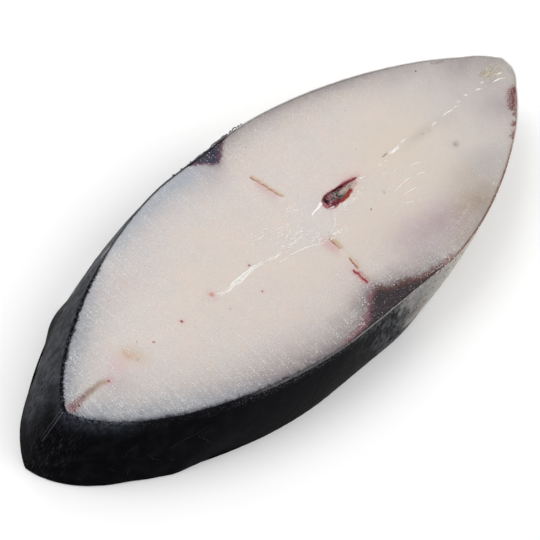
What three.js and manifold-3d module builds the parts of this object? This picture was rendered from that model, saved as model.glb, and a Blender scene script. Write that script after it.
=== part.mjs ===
// Raw black cod steak: one slice cut across the fish behind the belly, lying on its lower cut face.
// Millimetres, +Z up. X runs from the back of the fish (-X) to its belly edge (+X), Y across the flanks.
// The cut is slanted, so every layer leans towards the back of the fish from the top face down.

import * as THREE from 'three';
import { mergeVertices } from 'three/addons/utils/BufferGeometryUtils.js';
import Module from 'manifold-3d';

// Driving sizes of the slice
const sliceLength = 200;
const sliceThickness = 22;
const slant = 8; // how far the lower face lies further towards the back
const spread = 0.066; // how much wider the lower face is than the upper one
const wallBulge = 0.8; // how far the skin swells out at half height
const skinThickness = 0.9;
const fitGap = 0.3; // clearance between neighbouring layers
const tipInsetFactor = 1.5; // an even layer is this much thicker along X at a tip

// Each flank rises from the back tip, stays full, then falls to the belly tip
const leftFlank = {
  side: 1, halfWidth: 35.2, fullFrom: 82, fullTo: 110,
  backPower: 1.6, backRound: 1.4, bellyPower: 1.62, bellyRound: 1.36,
};
const rightFlank = {
  side: -1, halfWidth: 36.3, fullFrom: 87, fullTo: 129,
  backPower: 1.7, backRound: 1.6, bellyPower: 1.62, bellyRound: 1.4,
};
const bellyShiftBelow = 12; // the lower face starts to narrow this much nearer to the back

// Backbone: the round body of one vertebra with the blood canal behind it
const vertebra = { x: 106.2, y: -0.8, radiusX: 7.6, radiusY: 6.3, waist: 0.12 };
const canal = { x: 112.8, tailX: 130.4, y: 0.1, halfWidth: 2.7, tailRise: 1.0 };
const teardropPeak = (3 * Math.sqrt(3)) / 8; // the widest value of a teardrop's fullness
const canalTissueRecess = 4; // how far the clotted tissue lies below each cut face

// Dark muscle: a wedge against the skin of each flank
const leftMuscle = { flank: leftFlank, from: 87, to: 110, peak: 0.46, depth: 5.2, sharpness: 3.2 };
const rightMuscle = { flank: rightFlank, from: 84, to: 127, peak: 0.42, depth: 8.0, sharpness: 4.6 };
const outsideSkin = 12; // how far the cutting shapes reach past the skin

// Fin base: the fibrous root of the belly fin at the belly tip
const finBase = { from: 185.5, to: 196.0, y: -0.2, halfWidth: 1.3 };

// How finely the curves are cut into straight steps
const flankSteps = 34;
const wallSteps = 4;
const wedgeSteps = 12;
const roundSteps = 28;

const wasm = await Module();
wasm.setup();

// Half width of one flank at x, for a slice that starts at 0 and is sliceLength long
function flankHalfWidth(flank, x, bellyShift) {
  const fullTo = flank.fullTo - bellyShift;
  let fullness = 1;
  if (x < flank.fullFrom) {
    const towardsBack = Math.min(1, (flank.fullFrom - x) / flank.fullFrom);
    fullness = Math.pow(1 - Math.pow(towardsBack, flank.backPower), 1 / flank.backRound);
  } else if (x > fullTo) {
    const towardsBelly = Math.min(1, (x - fullTo) / (sliceLength - fullTo));
    fullness = Math.pow(1 - Math.pow(towardsBelly, flank.bellyPower), 1 / flank.bellyRound);
  }
  return flank.halfWidth * fullness;
}

// Lean and spread of the layers between the top face (height 1) and the lower face (height 0)
function leanX(x, height) {
  return x - slant * (1 - height);
}

function spreadY(y, height) {
  return y * (1 + spread * (1 - height));
}

// Outline of the slice at a height, drawn in by an inset all round
function sliceOutline(height, inset) {
  const swell = wallBulge * 4 * height * (1 - height) - inset;
  const halfLength = sliceLength / 2;
  const lengthScale = (halfLength + swell * (inset > 0 ? tipInsetFactor : 1)) / halfLength;
  const outline = [];
  const addPoint = (flank, step) => {
    const x = halfLength * (1 - Math.cos((Math.PI * step) / flankSteps));
    const width = flankHalfWidth(flank, x, bellyShiftBelow * (1 - height));
    const widthScale = (flank.halfWidth + swell) / flank.halfWidth;
    const y = flank.side * spreadY(width * widthScale, height);
    outline.push([leanX(halfLength + (x - halfLength) * lengthScale, height), y]);
  };
  for (let step = 0; step < flankSteps; step += 1) addPoint(rightFlank, step);
  for (let step = flankSteps; step > 0; step -= 1) addPoint(leftFlank, step);
  return outline;
}

// A closed solid through rings of equal point count, each ring running counter-clockwise
function loft(rings, levels) {
  const count = rings[0].length;
  const positions = [];
  rings.forEach((ring, level) => ring.forEach(([x, y]) => positions.push(x, y, levels[level])));
  const index = [];
  for (let level = 0; level + 1 < rings.length; level += 1) {
    for (let i = 0; i < count; i += 1) {
      const next = (i + 1) % count;
      const low = level * count;
      const high = low + count;
      index.push(low + i, low + next, high + next);
      index.push(low + i, high + next, high + i);
    }
  }
  const capFaces = (ring) => THREE.ShapeUtils.triangulateShape(ring.map(([x, y]) => new THREE.Vector2(x, y)), []);
  const top = (rings.length - 1) * count;
  capFaces(rings[0]).forEach(([a, b, c]) => index.push(a, c, b));
  capFaces(rings[rings.length - 1]).forEach(([a, b, c]) => index.push(top + a, top + b, top + c));
  const geometry = new THREE.BufferGeometry();
  geometry.setAttribute('position', new THREE.Float32BufferAttribute(positions, 3));
  geometry.setIndex(index);
  return geometry;
}

// The slice's own barrel-shaped body between two levels
function sliceBody(inset, lowest, highest) {
  const rings = [];
  const levels = [];
  for (let step = 0; step <= wallSteps; step += 1) {
    const z = lowest + ((highest - lowest) * step) / wallSteps;
    rings.push(sliceOutline(z / sliceThickness, inset));
    levels.push(z);
  }
  return loft(rings, levels);
}

// A plan outline, given at the top face, swept down along the slant of the slice
function leaningPrism(outline, lowest, highest, widens) {
  const ringAt = (z) => {
    const height = z / sliceThickness;
    return outline.map(([x, y]) => [leanX(x, height), widens ? spreadY(y, height) : y]);
  };
  return loft([ringAt(lowest), ringAt(highest)], [lowest, highest]);
}

function toManifold(geometry) {
  const bare = geometry.clone();
  bare.deleteAttribute('normal');
  bare.deleteAttribute('uv');
  const merged = mergeVertices(bare);
  return new wasm.Manifold(new wasm.Mesh({
    numProp: 3,
    vertProperties: new Float32Array(merged.attributes.position.array),
    triVerts: new Uint32Array(merged.index.array),
  }));
}

function toGeometry(solid) {
  const mesh = solid.getMesh();
  const geometry = new THREE.BufferGeometry();
  geometry.setAttribute('position', new THREE.Float32BufferAttribute(mesh.vertProperties, 3));
  geometry.setIndex(Array.from(mesh.triVerts));
  geometry.computeVertexNormals();
  return geometry;
}

// The vertebra's body: an oval, slightly drawn in where the arches leave it
function vertebraOutline(margin) {
  const outline = [];
  for (let step = 0; step < roundSteps; step += 1) {
    const angle = (2 * Math.PI * step) / roundSteps;
    const drawnIn = 1 - vertebra.waist * Math.pow(Math.cos(angle), 4);
    const x = vertebra.x + (vertebra.radiusX + margin) * drawnIn * Math.cos(angle);
    outline.push([x, vertebra.y + (vertebra.radiusY + margin) * Math.sin(angle)]);
  }
  return outline;
}

// The blood canal: a teardrop, round beside the vertebra and pointed towards the belly
function canalOutline(margin) {
  const length = canal.tailX - canal.x;
  const outline = [];
  for (let step = 0; step < roundSteps; step += 1) {
    const angle = (2 * Math.PI * step) / roundSteps;
    const along = (1 - Math.cos(angle)) / 2;
    const fullness = (Math.sin(angle) * Math.pow(Math.cos(angle / 2), 2)) / teardropPeak;
    const x = canal.x - margin + (length + 2 * margin) * along;
    outline.push([x, canal.y + canal.tailRise * along - (canal.halfWidth + margin) * fullness]);
  }
  return outline;
}

// Depth of a dark muscle wedge under the skin, from 0 at its ends to 1 at its peak
function wedgeProfile(muscle, along) {
  const rise = muscle.peak * muscle.sharpness;
  const fall = (1 - muscle.peak) * muscle.sharpness;
  return Math.pow(along / muscle.peak, rise) * Math.pow((1 - along) / (1 - muscle.peak), fall);
}

function wedgeOutline(muscle, margin) {
  const { flank } = muscle;
  const inner = [];
  for (let step = 0; step <= wedgeSteps; step += 1) {
    const along = step / wedgeSteps;
    const x = muscle.from - margin + (muscle.to - muscle.from + 2 * margin) * along;
    const edge = flankHalfWidth(flank, x, 0) - skinThickness - fitGap;
    inner.push([x, flank.side * (edge - muscle.depth * wedgeProfile(muscle, along) - margin)]);
  }
  const farY = flank.side * (flank.halfWidth + outsideSkin);
  const outline = [...inner, [muscle.to + margin, farY], [muscle.from - margin, farY]];
  return flank.side > 0 ? outline : outline.reverse();
}

// The fin base: a thin spindle along the middle line
function finBaseOutline(margin) {
  const centre = (finBase.from + finBase.to) / 2;
  const reach = (finBase.to - finBase.from) / 2 + margin;
  const outline = [];
  for (let step = 0; step < wedgeSteps; step += 1) {
    const angle = (2 * Math.PI * step) / wedgeSteps;
    outline.push([centre + reach * Math.cos(angle), finBase.y + (finBase.halfWidth + margin) * Math.sin(angle)]);
  }
  return outline;
}

// Cutting shapes run a little past both cut faces
const past = 2;
const through = (outline, widens) => toManifold(leaningPrism(outline, -past, sliceThickness + past, widens));
const filling = (outline) => toManifold(leaningPrism(outline, 0, sliceThickness, false));

const fleshInset = skinThickness + fitGap;
const fleshBody = toManifold(sliceBody(fleshInset, 0, sliceThickness));

function makeSkin() {
  const outer = toManifold(sliceBody(0, fitGap, sliceThickness));
  const inner = toManifold(sliceBody(skinThickness, -past, sliceThickness + past));
  return outer.subtract(inner);
}

function makeDarkMuscle(muscle) {
  return fleshBody.intersect(through(wedgeOutline(muscle, 0), true));
}

function makeBackbone() {
  return filling(vertebraOutline(0)).subtract(through(canalOutline(fitGap), false));
}

function makeCanalTissue() {
  const outline = canalOutline(-fitGap);
  return toManifold(leaningPrism(outline, canalTissueRecess, sliceThickness - canalTissueRecess, false));
}

function makeFinBase() {
  return filling(finBaseOutline(0));
}

function makeFlesh() {
  return fleshBody
    .subtract(through(wedgeOutline(leftMuscle, fitGap), true))
    .subtract(through(wedgeOutline(rightMuscle, fitGap), true))
    .subtract(through(vertebraOutline(fitGap), false))
    .subtract(through(canalOutline(0), false))
    .subtract(through(finBaseOutline(fitGap), false));
}

const finish = {
  flesh: new THREE.MeshStandardMaterial({ color: 0xd9cfc8, roughness: 0.45, metalness: 0 }),
  skin: new THREE.MeshStandardMaterial({ color: 0x1b1c20, roughness: 0.4, metalness: 0 }),
  bone: new THREE.MeshStandardMaterial({ color: 0xd6cdc6, roughness: 0.5, metalness: 0 }),
  clot: new THREE.MeshStandardMaterial({ color: 0x4a1518, roughness: 0.3, metalness: 0 }),
  darkMuscle: new THREE.MeshStandardMaterial({ color: 0x4b434c, roughness: 0.4, metalness: 0 }),
  fin: new THREE.MeshStandardMaterial({ color: 0xc9b48c, roughness: 0.5, metalness: 0 }),
};

const steak = new THREE.Group();
// The frame's origin lies under the middle of the slice, at the level it rests on
const middleX = (sliceLength - slant) / 2;
const middleY = ((leftFlank.halfWidth - rightFlank.halfWidth) * (1 + spread)) / 2;
steak.position.set(-middleX, -middleY, 0);

function addLayer(name, solid, material) {
  const mesh = new THREE.Mesh(toGeometry(solid), material);
  mesh.name = name;
  steak.add(mesh);
}

addLayer('flesh', makeFlesh(), finish.flesh);
addLayer('skin', makeSkin(), finish.skin);
addLayer('backbone', makeBackbone(), finish.bone);
addLayer('canal_tissue', makeCanalTissue(), finish.clot);
addLayer('dark_muscle_left', makeDarkMuscle(leftMuscle), finish.darkMuscle);
addLayer('dark_muscle_right', makeDarkMuscle(rightMuscle), finish.darkMuscle);
addLayer('fin_base', makeFinBase(), finish.fin);

export default steak;
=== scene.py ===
# Raw black cod steak: the finish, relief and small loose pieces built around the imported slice.
# The plan is in slice millimetres: x runs from the back tip (0) to the belly tip, y is positive on
# the left flank, z is the height above the board. to_part() turns them into metres in the part's frame.

import itertools
import math

import bpy
import numpy as np
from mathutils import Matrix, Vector
from mathutils.geometry import delaunay_2d_cdt
from mathutils.kdtree import KDTree


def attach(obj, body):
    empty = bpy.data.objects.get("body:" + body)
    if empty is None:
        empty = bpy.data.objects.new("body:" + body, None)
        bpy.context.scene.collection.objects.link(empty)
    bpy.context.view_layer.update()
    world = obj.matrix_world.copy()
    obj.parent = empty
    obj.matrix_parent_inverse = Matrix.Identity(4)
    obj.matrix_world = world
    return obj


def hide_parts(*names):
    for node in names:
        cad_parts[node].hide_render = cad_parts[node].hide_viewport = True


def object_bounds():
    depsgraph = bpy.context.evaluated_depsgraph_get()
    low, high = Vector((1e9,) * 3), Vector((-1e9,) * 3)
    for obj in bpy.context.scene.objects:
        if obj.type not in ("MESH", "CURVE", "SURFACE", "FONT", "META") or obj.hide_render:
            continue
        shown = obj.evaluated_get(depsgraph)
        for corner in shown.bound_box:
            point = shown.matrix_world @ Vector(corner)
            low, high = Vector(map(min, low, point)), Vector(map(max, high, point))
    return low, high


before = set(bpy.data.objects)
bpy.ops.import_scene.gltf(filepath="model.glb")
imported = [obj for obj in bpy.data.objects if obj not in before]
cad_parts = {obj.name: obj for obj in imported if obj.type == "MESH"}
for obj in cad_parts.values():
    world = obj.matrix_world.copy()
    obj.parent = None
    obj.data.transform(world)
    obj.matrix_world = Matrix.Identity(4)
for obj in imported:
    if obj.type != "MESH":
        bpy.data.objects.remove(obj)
cad_low, cad_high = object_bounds()

# ---------------------------------------------------------------------------------------------
# Driving sizes of the slice, in millimetres
# ---------------------------------------------------------------------------------------------
MM = 0.001
SLICE_LENGTH = 200.0
SLANT = 8.0  # the lower face lies this much nearer the back
SPREAD = 0.066  # the lower face is this much wider
WALL_BULGE = 0.8  # swell of the skin at half height
BELLY_SHIFT_BELOW = 12.0  # the lower face starts to narrow this much nearer the back
THICKNESS = round(cad_high.z / MM, 3)

LEFT_FLANK = dict(side=1, half_width=35.2, full_from=82, full_to=110,
                  back_power=1.6, back_round=1.4, belly_power=1.62, belly_round=1.36)
RIGHT_FLANK = dict(side=-1, half_width=36.3, full_from=87, full_to=129,
                   back_power=1.7, back_round=1.6, belly_power=1.62, belly_round=1.4)
VERTEBRA = dict(x=106.2, y=-0.8, radius_x=7.2, radius_y=6.1, waist=0.12)
CANAL = dict(x=112.8, tail_x=130.4, y=0.1, half_width=2.7, tail_rise=1.0)
TEARDROP_PEAK = 3 * math.sqrt(3) / 8
FIN_BASE = dict(start=185.5, end=196.0, y=-0.2, half_width=1.3)

# Depth of each dark muscle under the rim of the flesh, at stations along the slice
LEFT_MUSCLE = dict(side=1, depth=[
    (90.5, 0.2), (92, 0.9), (93.5, 1.8), (95, 2.9), (96.2, 4.2), (97.3, 4.9), (98.6, 5.1),
    (99.8, 4.6), (101.4, 3.8), (103, 2.7), (104.6, 1.6), (106, 0.9), (108, 0.2)])
RIGHT_MUSCLE = dict(side=-1, depth=[
    (83, 0.2), (86, 0.6), (89, 0.9), (92, 1.9), (94, 3.0), (96, 4.2), (98, 5.6), (100, 7.0),
    (102, 7.6), (103.8, 7.9), (105, 7.0), (106.5, 5.8), (108, 5.1), (110, 4.9), (112, 4.2),
    (114, 3.2), (116, 2.2), (118, 1.5), (121, 0.9), (126, 0.2)])

SKIN_AT_BACK = 0.8  # skin thickness over the back, and over the flanks and belly
SKIN_AT_BELLY = 0.35
TIP_INSET_FACTOR = 1.5  # an even layer is this much thicker along x at a tip
FACE_DEPTH = 0.02  # the flesh lies this much below the CAD's flat cut face
TOP_CLEARANCE = 0.01  # threads and frost stay this much below it
SKIN_OVERLAP = 0.15  # at the cut the flesh reaches this far into the skin's wall
LEAST_WALL_INSET = 0.5  # below the cut the flesh stays at least this far in; some dents go deeper
CANAL_MARGIN = -0.2  # the canal shows this much narrower at the cut than in the CAD

ORIGIN_X = (SLICE_LENGTH - SLANT) / 2
ORIGIN_Y = (LEFT_FLANK["half_width"] - RIGHT_FLANK["half_width"]) * (1 + SPREAD) / 2

# How finely the surfaces are cut, in millimetres
RIM_STEP = 0.5
TOP_SPACING = 0.5
UNDER_SPACING = 1.0
MARK_SPACING = 0.22

random = np.random.default_rng(411)


# ---------------------------------------------------------------------------------------------
# Plan of the slice
# ---------------------------------------------------------------------------------------------
def smooth_step(value, low, high):
    share = np.clip((value - low) / (high - low), 0, 1)
    return share * share * (3 - 2 * share)


def value_noise(points, size, seed):
    """Smooth random values from -1 to 1 that change over about size millimetres."""
    cells = np.asarray(points, float) / size
    corner = np.floor(cells).astype(np.int64)
    part = cells - corner
    part = part * part * (3 - 2 * part)
    total = np.zeros(len(cells))
    for offset in itertools.product((0, 1), repeat=cells.shape[1]):
        key = np.full(len(cells), 7919 * (seed + 1), np.int64)
        weight = np.ones(len(cells))
        for axis, step in enumerate(offset):
            key = key * 31 + (corner[:, axis] + step) * (73856093, 19349663, 83492791)[axis]
            weight = weight * (part[:, axis] if step else 1 - part[:, axis])
        key = ((key ^ (key >> 13)) * 1274126177) & 0x7FFFFFFF
        key = key ^ (key >> 15)
        total += weight * ((key & 0xFFFF) / 32767.5 - 1)
    return total


def layered_noise(points, size, seed, layers=3):
    return sum(value_noise(points, size / 2**k, seed + 11 * k) / 2**k for k in range(layers)) / 1.75


def flank_half_width(flank, x, belly_shift):
    full_to = flank["full_to"] - belly_shift
    towards_back = np.clip((flank["full_from"] - x) / flank["full_from"], 0, 1)
    towards_belly = np.clip((x - full_to) / (SLICE_LENGTH - full_to), 0, 1)
    back = (1 - towards_back ** flank["back_power"]) ** (1 / flank["back_round"])
    belly = (1 - towards_belly ** flank["belly_power"]) ** (1 / flank["belly_round"])
    return flank["half_width"] * back * belly


def by_side(side, left, right):
    return np.where(np.asarray(side) > 0, left, right)


def skin_thickness(x, side):
    over_back = 1 - by_side(side, smooth_step(x, 20, 52), smooth_step(x, 74, 94))
    return SKIN_AT_BELLY + (SKIN_AT_BACK - SKIN_AT_BELLY) * over_back


def rim_stations(flank):
    """Stations along x that lie evenly along one flank's edge, from the back tip to the belly tip."""
    fine = SLICE_LENGTH / 2 * (1 - np.cos(np.linspace(0, math.pi, 4000)))
    width = flank_half_width(flank, fine, 0)
    walked = np.concatenate([[0], np.cumsum(np.hypot(np.diff(fine), np.diff(width)))])
    count = int(walked[-1] / RIM_STEP)
    return np.interp(np.linspace(0, walked[-1], count + 1), walked, fine)


RIGHT_STATIONS = rim_stations(RIGHT_FLANK)
LEFT_STATIONS = rim_stations(LEFT_FLANK)
RING_STATION = np.concatenate([RIGHT_STATIONS[:-1], LEFT_STATIONS[:0:-1]])
RING_SIDE = np.concatenate([-np.ones(len(RIGHT_STATIONS) - 1), np.ones(len(LEFT_STATIONS) - 1)])


def half_width_at(side, x, belly_shift=0.0):
    left = flank_half_width(LEFT_FLANK, x, belly_shift)
    return by_side(side, left, flank_half_width(RIGHT_FLANK, x, belly_shift))


def blunt_end(station, side):
    """Sideways lean of the belly tip, which ends bluntly and a little to the left."""
    left = 1.0 * smooth_step(station, 187, 198) + 0.5 * smooth_step(station, 198, 200)
    right = -0.5 * smooth_step(station, 172, 188) - 0.9 * smooth_step(station, 195, 199)
    return by_side(side, left, right)


def slice_ring(height, inset):
    """Outline of the slice at a height from 0 to 1, drawn in by an inset, counter-clockwise."""
    swell = WALL_BULGE * 4 * height * (1 - height) - inset
    full = by_side(RING_SIDE, LEFT_FLANK["half_width"], RIGHT_FLANK["half_width"])
    width = half_width_at(RING_SIDE, RING_STATION, BELLY_SHIFT_BELOW * (1 - height))
    middle = SLICE_LENGTH / 2
    tip_factor = np.where(inset > 0, TIP_INSET_FACTOR, 1)
    x = middle + (RING_STATION - middle) * (1 + swell * tip_factor / middle) - SLANT * (1 - height)
    y = RING_SIDE * width * (1 + swell / full) * (1 + SPREAD * (1 - height))
    return np.stack([x, y + blunt_end(RING_STATION, RING_SIDE)], 1)


def lean(plan, height):
    """Where a point of the upper face's plan lies at a height from 0 to 1."""
    x, y = plan[:, 0], plan[:, 1]
    station = np.clip(x, 0.5, SLICE_LENGTH - 0.5)
    narrowing = half_width_at(y, station, BELLY_SHIFT_BELOW * (1 - height)) / half_width_at(y, station)
    return np.stack([x - SLANT * (1 - height), y * narrowing * (1 + SPREAD * (1 - height))], 1)


def to_part(plan, z):
    z = np.broadcast_to(z, len(plan))
    return np.stack([plan[:, 0] - ORIGIN_X, plan[:, 1] - ORIGIN_Y, z], 1) * MM


def vertebra_outline(step_count=72):
    angle = np.linspace(0, 2 * math.pi, step_count, endpoint=False)
    drawn_in = 1 - VERTEBRA["waist"] * np.cos(angle) ** 4
    wobble = 1 + 0.02 * np.sin(3 * angle + 1) + 0.012 * np.sin(7 * angle)
    x = VERTEBRA["x"] + VERTEBRA["radius_x"] * drawn_in * np.cos(angle)
    return np.stack([x, VERTEBRA["y"] + VERTEBRA["radius_y"] * wobble * np.sin(angle)], 1)


def canal_outline(margin=CANAL_MARGIN, step_count=72):
    angle = np.linspace(0, 2 * math.pi, step_count, endpoint=False)
    along = (1 - np.cos(angle)) / 2
    fullness = np.sin(angle) * np.cos(angle / 2) ** 2 / TEARDROP_PEAK
    wobble = 1 - 0.07 * (1 + np.sin(5 * angle + 2)) * np.abs(np.sin(angle))
    x = CANAL["x"] - margin + (CANAL["tail_x"] - CANAL["x"] + 2 * margin) * along
    y = CANAL["y"] + CANAL["tail_rise"] * along - (CANAL["half_width"] + margin) * fullness * wobble
    return np.stack([x, y], 1)


def fin_outline(step_count=28):
    angle = np.linspace(0, 2 * math.pi, step_count, endpoint=False)
    reach = (FIN_BASE["end"] - FIN_BASE["start"]) / 2
    x = FIN_BASE["start"] + reach + reach * np.cos(angle)
    return np.stack([x, FIN_BASE["y"] + FIN_BASE["half_width"] * np.sin(angle)], 1)


def segment_distance(points, start, end):
    span = end - start
    length = np.maximum((span * span).sum(-1), 1e-9)
    along = np.clip(((points - start) * span).sum(-1) / length, 0, 1)
    gap = points - start - span * along[..., None]
    return np.sqrt((gap * gap).sum(-1))


def line_distance(points, line):
    line = np.asarray(line, float)
    if len(line) == 1:
        return np.hypot(*(points - line[0]).T)
    return np.minimum.reduce([segment_distance(points, a, b) for a, b in zip(line[:-1], line[1:])])


def plan_tree(points):
    """A search tree over points of the plan."""
    tree = KDTree(len(points))
    for i, (x, y) in enumerate(points):
        tree.insert((x, y, 0), i)
    tree.balance()
    return tree


def ring_distance(points, ring):
    """Distance from each point to a closed outline of close points."""
    tree = plan_tree(ring)
    near = np.array([tree.find((x, y, 0))[1] for x, y in points])
    before = segment_distance(points, ring[near - 1], ring[near])
    after = segment_distance(points, ring[near], ring[(near + 1) % len(ring)])
    return np.minimum(before, after)


def inside(points, outline):
    crossings = np.zeros(len(points), bool)
    x, y = points[:, 0], points[:, 1]
    for (ax, ay), (bx, by) in zip(outline, np.roll(outline, -1, 0)):
        if ay != by:
            crossings ^= ((ay > y) != (by > y)) & (x < ax + (bx - ax) * (y - ay) / (by - ay))
    return crossings


# ---------------------------------------------------------------------------------------------
# Marks on the cut face, in slice millimetres
# ---------------------------------------------------------------------------------------------
SEPTUM_UPPER = [(64.4, -0.5), (65.6, -0.8), (66.4, -1.5), (67.4, -1.9), (68.5, -1.8), (69.6, -1.3),
                (70.6, -0.85), (73, -0.8), (76, -0.75), (79, -0.8), (81, -0.9), (83.2, -1.4)]
SEPTUM_LOWER = [(67.4, -1.9), (69, -2.0), (70.5, -1.6), (72, -1.9), (73.6, -2.0), (75.4, -1.7),
                (77.4, -1.5), (79.2, -1.3), (81, -1.6), (83, -1.9)]
SEPTUM_NECK = [(83.0, -1.6), (85.2, -1.9), (86.8, -2.4), (88, -2.9), (89.6, -2.8), (91.2, -2.4)]
SEPTUM_TAIL = [(93, -2.6), (95, -2.85), (97, -2.9), (98.6, -2.9), (100, -2.5), (101.2, -2.1)]
SEPTUM_SIDE = [(83.2, -4.8), (85.5, -4.6), (88, -4.8), (90.4, -4.8), (92.4, -5.0), (94, -5.2),
               (95.6, -5.6), (97.5, -6.0), (99.2, -6.6), (101, -7.4), (103.2, -8.2)]
VERTEBRA_ARC = [(105.6, -7.4), (107.2, -7.1), (108.8, -6.8), (110.4, -6.3), (112, -5.2), (113.3, -3.6),
                (113.9, -2.0)]
BELLY_SEPTUM = [
    [(144.1, 0.3), (145.5, 0.25), (147.3, 0.4)], [(147.3, 0.5), (148.3, 0.9)],
    [(149.0, 0.8), (150.5, 1.0), (151.9, 1.1)], [(137.2, -0.5), (139.0, -0.5)],
    [(140.1, -0.7), (141.0, -0.7)],
    [(129.0, 0.1), (131.3, -0.3)], [(161.6, -1.1), (163.0, -0.8), (164.5, -0.9)],
    [(167.2, -0.6), (169.2, -0.6), (171.0, -0.8), (172.6, -0.8)], [(172.9, -0.7), (174.0, -0.9)],
    [(175.1, -0.3), (176.3, 0.0)], [(179.0, 0.2), (180.2, -0.2)], [(183.5, -0.9), (185.2, -1.1)],
    [(186.6, -0.1), (188.0, -0.1)], [(193.2, -1.0), (195.5, -1.4)],
    [(190.0, -2.1), (193.0, -2.5), (194.9, -3.5)],
]
LEFT_BLOODLINE = [(102.6, 20.6), (102.9, 19.4), (103.5, 18.2), (103.4, 17.2), (103.9, 16.0), (103.9, 14.8),
                  (104.4, 13.6), (104.5, 12.2), (105.2, 10.4)]
RIGHT_BLOODLINE = [(105.3, -8.6), (105.5, -10.4), (105.4, -12.6)]
RIGHT_BLOODLINE_BROWN = [(105.3, -16.6), (104.9, -18.4), (104.8, -20.2)]
RIGHT_BLOODLINE_RED = [(103.2, -20.3), (103.0, -21.1), (103.45, -21.8), (103.3, -22.7), (103.0, -23.6),
                       (103.3, -24.4), (103.2, -25.3)]
BACK_STREAK = [(5.0, 0.1), (8.0, 0.3), (11.5, 0.3), (14.5, 0.35), (16.4, -0.2)]
FLAKE_ARCS = [
    [(144.6, -6.4), (146.0, -6.5), (147.5, -6.8), (148.7, -7.3), (149.5, -7.8)],
    [(139.7, -6.75), (141.8, -6.4)], [(133.4, -7.7), (135.1, -7.35)],
    [(132.6, -9.7), (135.0, -9.4), (137.0, -9.2), (139.0, -9.05), (140.8, -8.95), (142.2, -9.1),
     (143.7, -9.5)],
    [(144.6, -9.75), (145.8, -9.9), (146.7, -10.4), (148.0, -10.9)],
    [(135.0, -11.8), (137.0, -12.0), (138.5, -12.2), (139.9, -12.4), (141.0, -12.7), (142.4, -13.1)],
    [(131.5, -14.4), (132.7, -14.2)], [(133.8, -14.2), (135.0, -14.7), (136.0, -15.2), (137.0, -15.4)],
    [(137.9, -15.7), (139.8, -16.4)], [(141.5, -17.2), (142.2, -17.0)],
    [(134.8, -3.5), (136.4, -3.2), (138.0, -2.8)], [(136.5, -5.0), (140.0, -4.6), (142.5, -4.2)],
    [(129.8, -11.5), (131.4, -12.1)], [(128.5, -14.7), (130.0, -14.5)],
]
SAW_SCORES = [
    [(21.8, 6.2), (21.3, 3.2)], [(20.8, 2.0), (20.4, -1.2)], [(19.4, -7.6), (19.0, -12.6)],
    [(79.4, 31.6), (79.0, 19.4)], [(81.6, 30.4), (81.0, 18.4)], [(67.2, 31.0), (66.8, 21.5)],
    [(50.0, 29.0), (49.4, 15.0)], [(59.9, 2.2), (59.2, -0.5)], [(61.6, 1.8), (61.2, -0.6)],
    [(65.6, 2.4), (65.3, 0.2)], [(68.7, 3.5), (68.2, 0.8)], [(69.4, 2.9), (69.1, 0.8)],
    [(76.7, 1.7), (76.6, 0.0)], [(132.9, 29.0), (132.7, 17.4)],
]
# Small round spots: layer, x, y, radius, strength
SPOTS = [
    ("blood", 79.2, 0.35, 0.42, 0.85), ("blood", 75.7, -8.2, 0.4, 0.6), ("blood", 17.5, -0.8, 0.55, 0.75),
    ("blood", 37.5, 0.0, 0.5, 0.7), ("blood", 49.1, -0.3, 0.65, 0.9), ("clot", 123.7, -9.3, 0.36, 0.7),
    ("salmon", 62.8, 0.4, 1.0, 0.8), ("salmon", 28.5, 1.7, 1.1, 0.45), ("rose", 17.6, -0.8, 2.2, 0.7),
    ("rose", 75.7, -8.2, 1.0, 0.5), ("rose", 49.1, -0.3, 1.6, 0.4), ("rose", 62.6, 0.2, 2.6, 0.5),
    ("rose", 79.2, 0.2, 1.1, 0.45), ("clot", 2.7, -1.2, 0.55, 0.8), ("blood", 2.9, -0.6, 0.7, 0.4),
    ("clot", 2.6, 0.4, 0.5, 0.5), ("clot", 5.0, -0.9, 0.5, 0.7), ("clot", 8.2, 0.25, 0.45, 0.7),
    ("clot", 3.6, 1.2, 0.4, 0.4), ("shade", 1.5, -3.4, 0.7, 0.8), ("shade", 3.3, 2.3, 0.5, 0.6),
    ("shade", 173.4, 15.2, 0.38, 0.8), ("shade", 33.5, 3.2, 0.24, 0.7), ("shade", 109.7, 28.5, 0.24, 0.7),
    ("shade", 144.5, 19.1, 0.2, 0.7), ("shade", 136.5, 7.8, 0.22, 0.6), ("shade", 118.2, 23.7, 0.2, 0.6),
    ("clot", 78.7, -24.5, 0.24, 0.5), ("grey", 63.7, -6.2, 0.4, 0.5), ("grey", 131.7, -7.7, 0.5, 0.4),
    ("grey", 157.3, -1.1, 0.45, 0.6), ("grey", 154.3, -0.4, 0.4, 0.4), ("grey", 160.0, -1.8, 0.4, 0.4),
    ("grey", 162.4, -0.6, 0.3, 0.5), ("amber", 29.4, -1.0, 0.8, 0.3), ("amber", 28.2, 3.2, 1.0, 0.25),
]
PIT = dict(x=163.6, y=-10.4, radius=1.15, depth=0.5)

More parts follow.
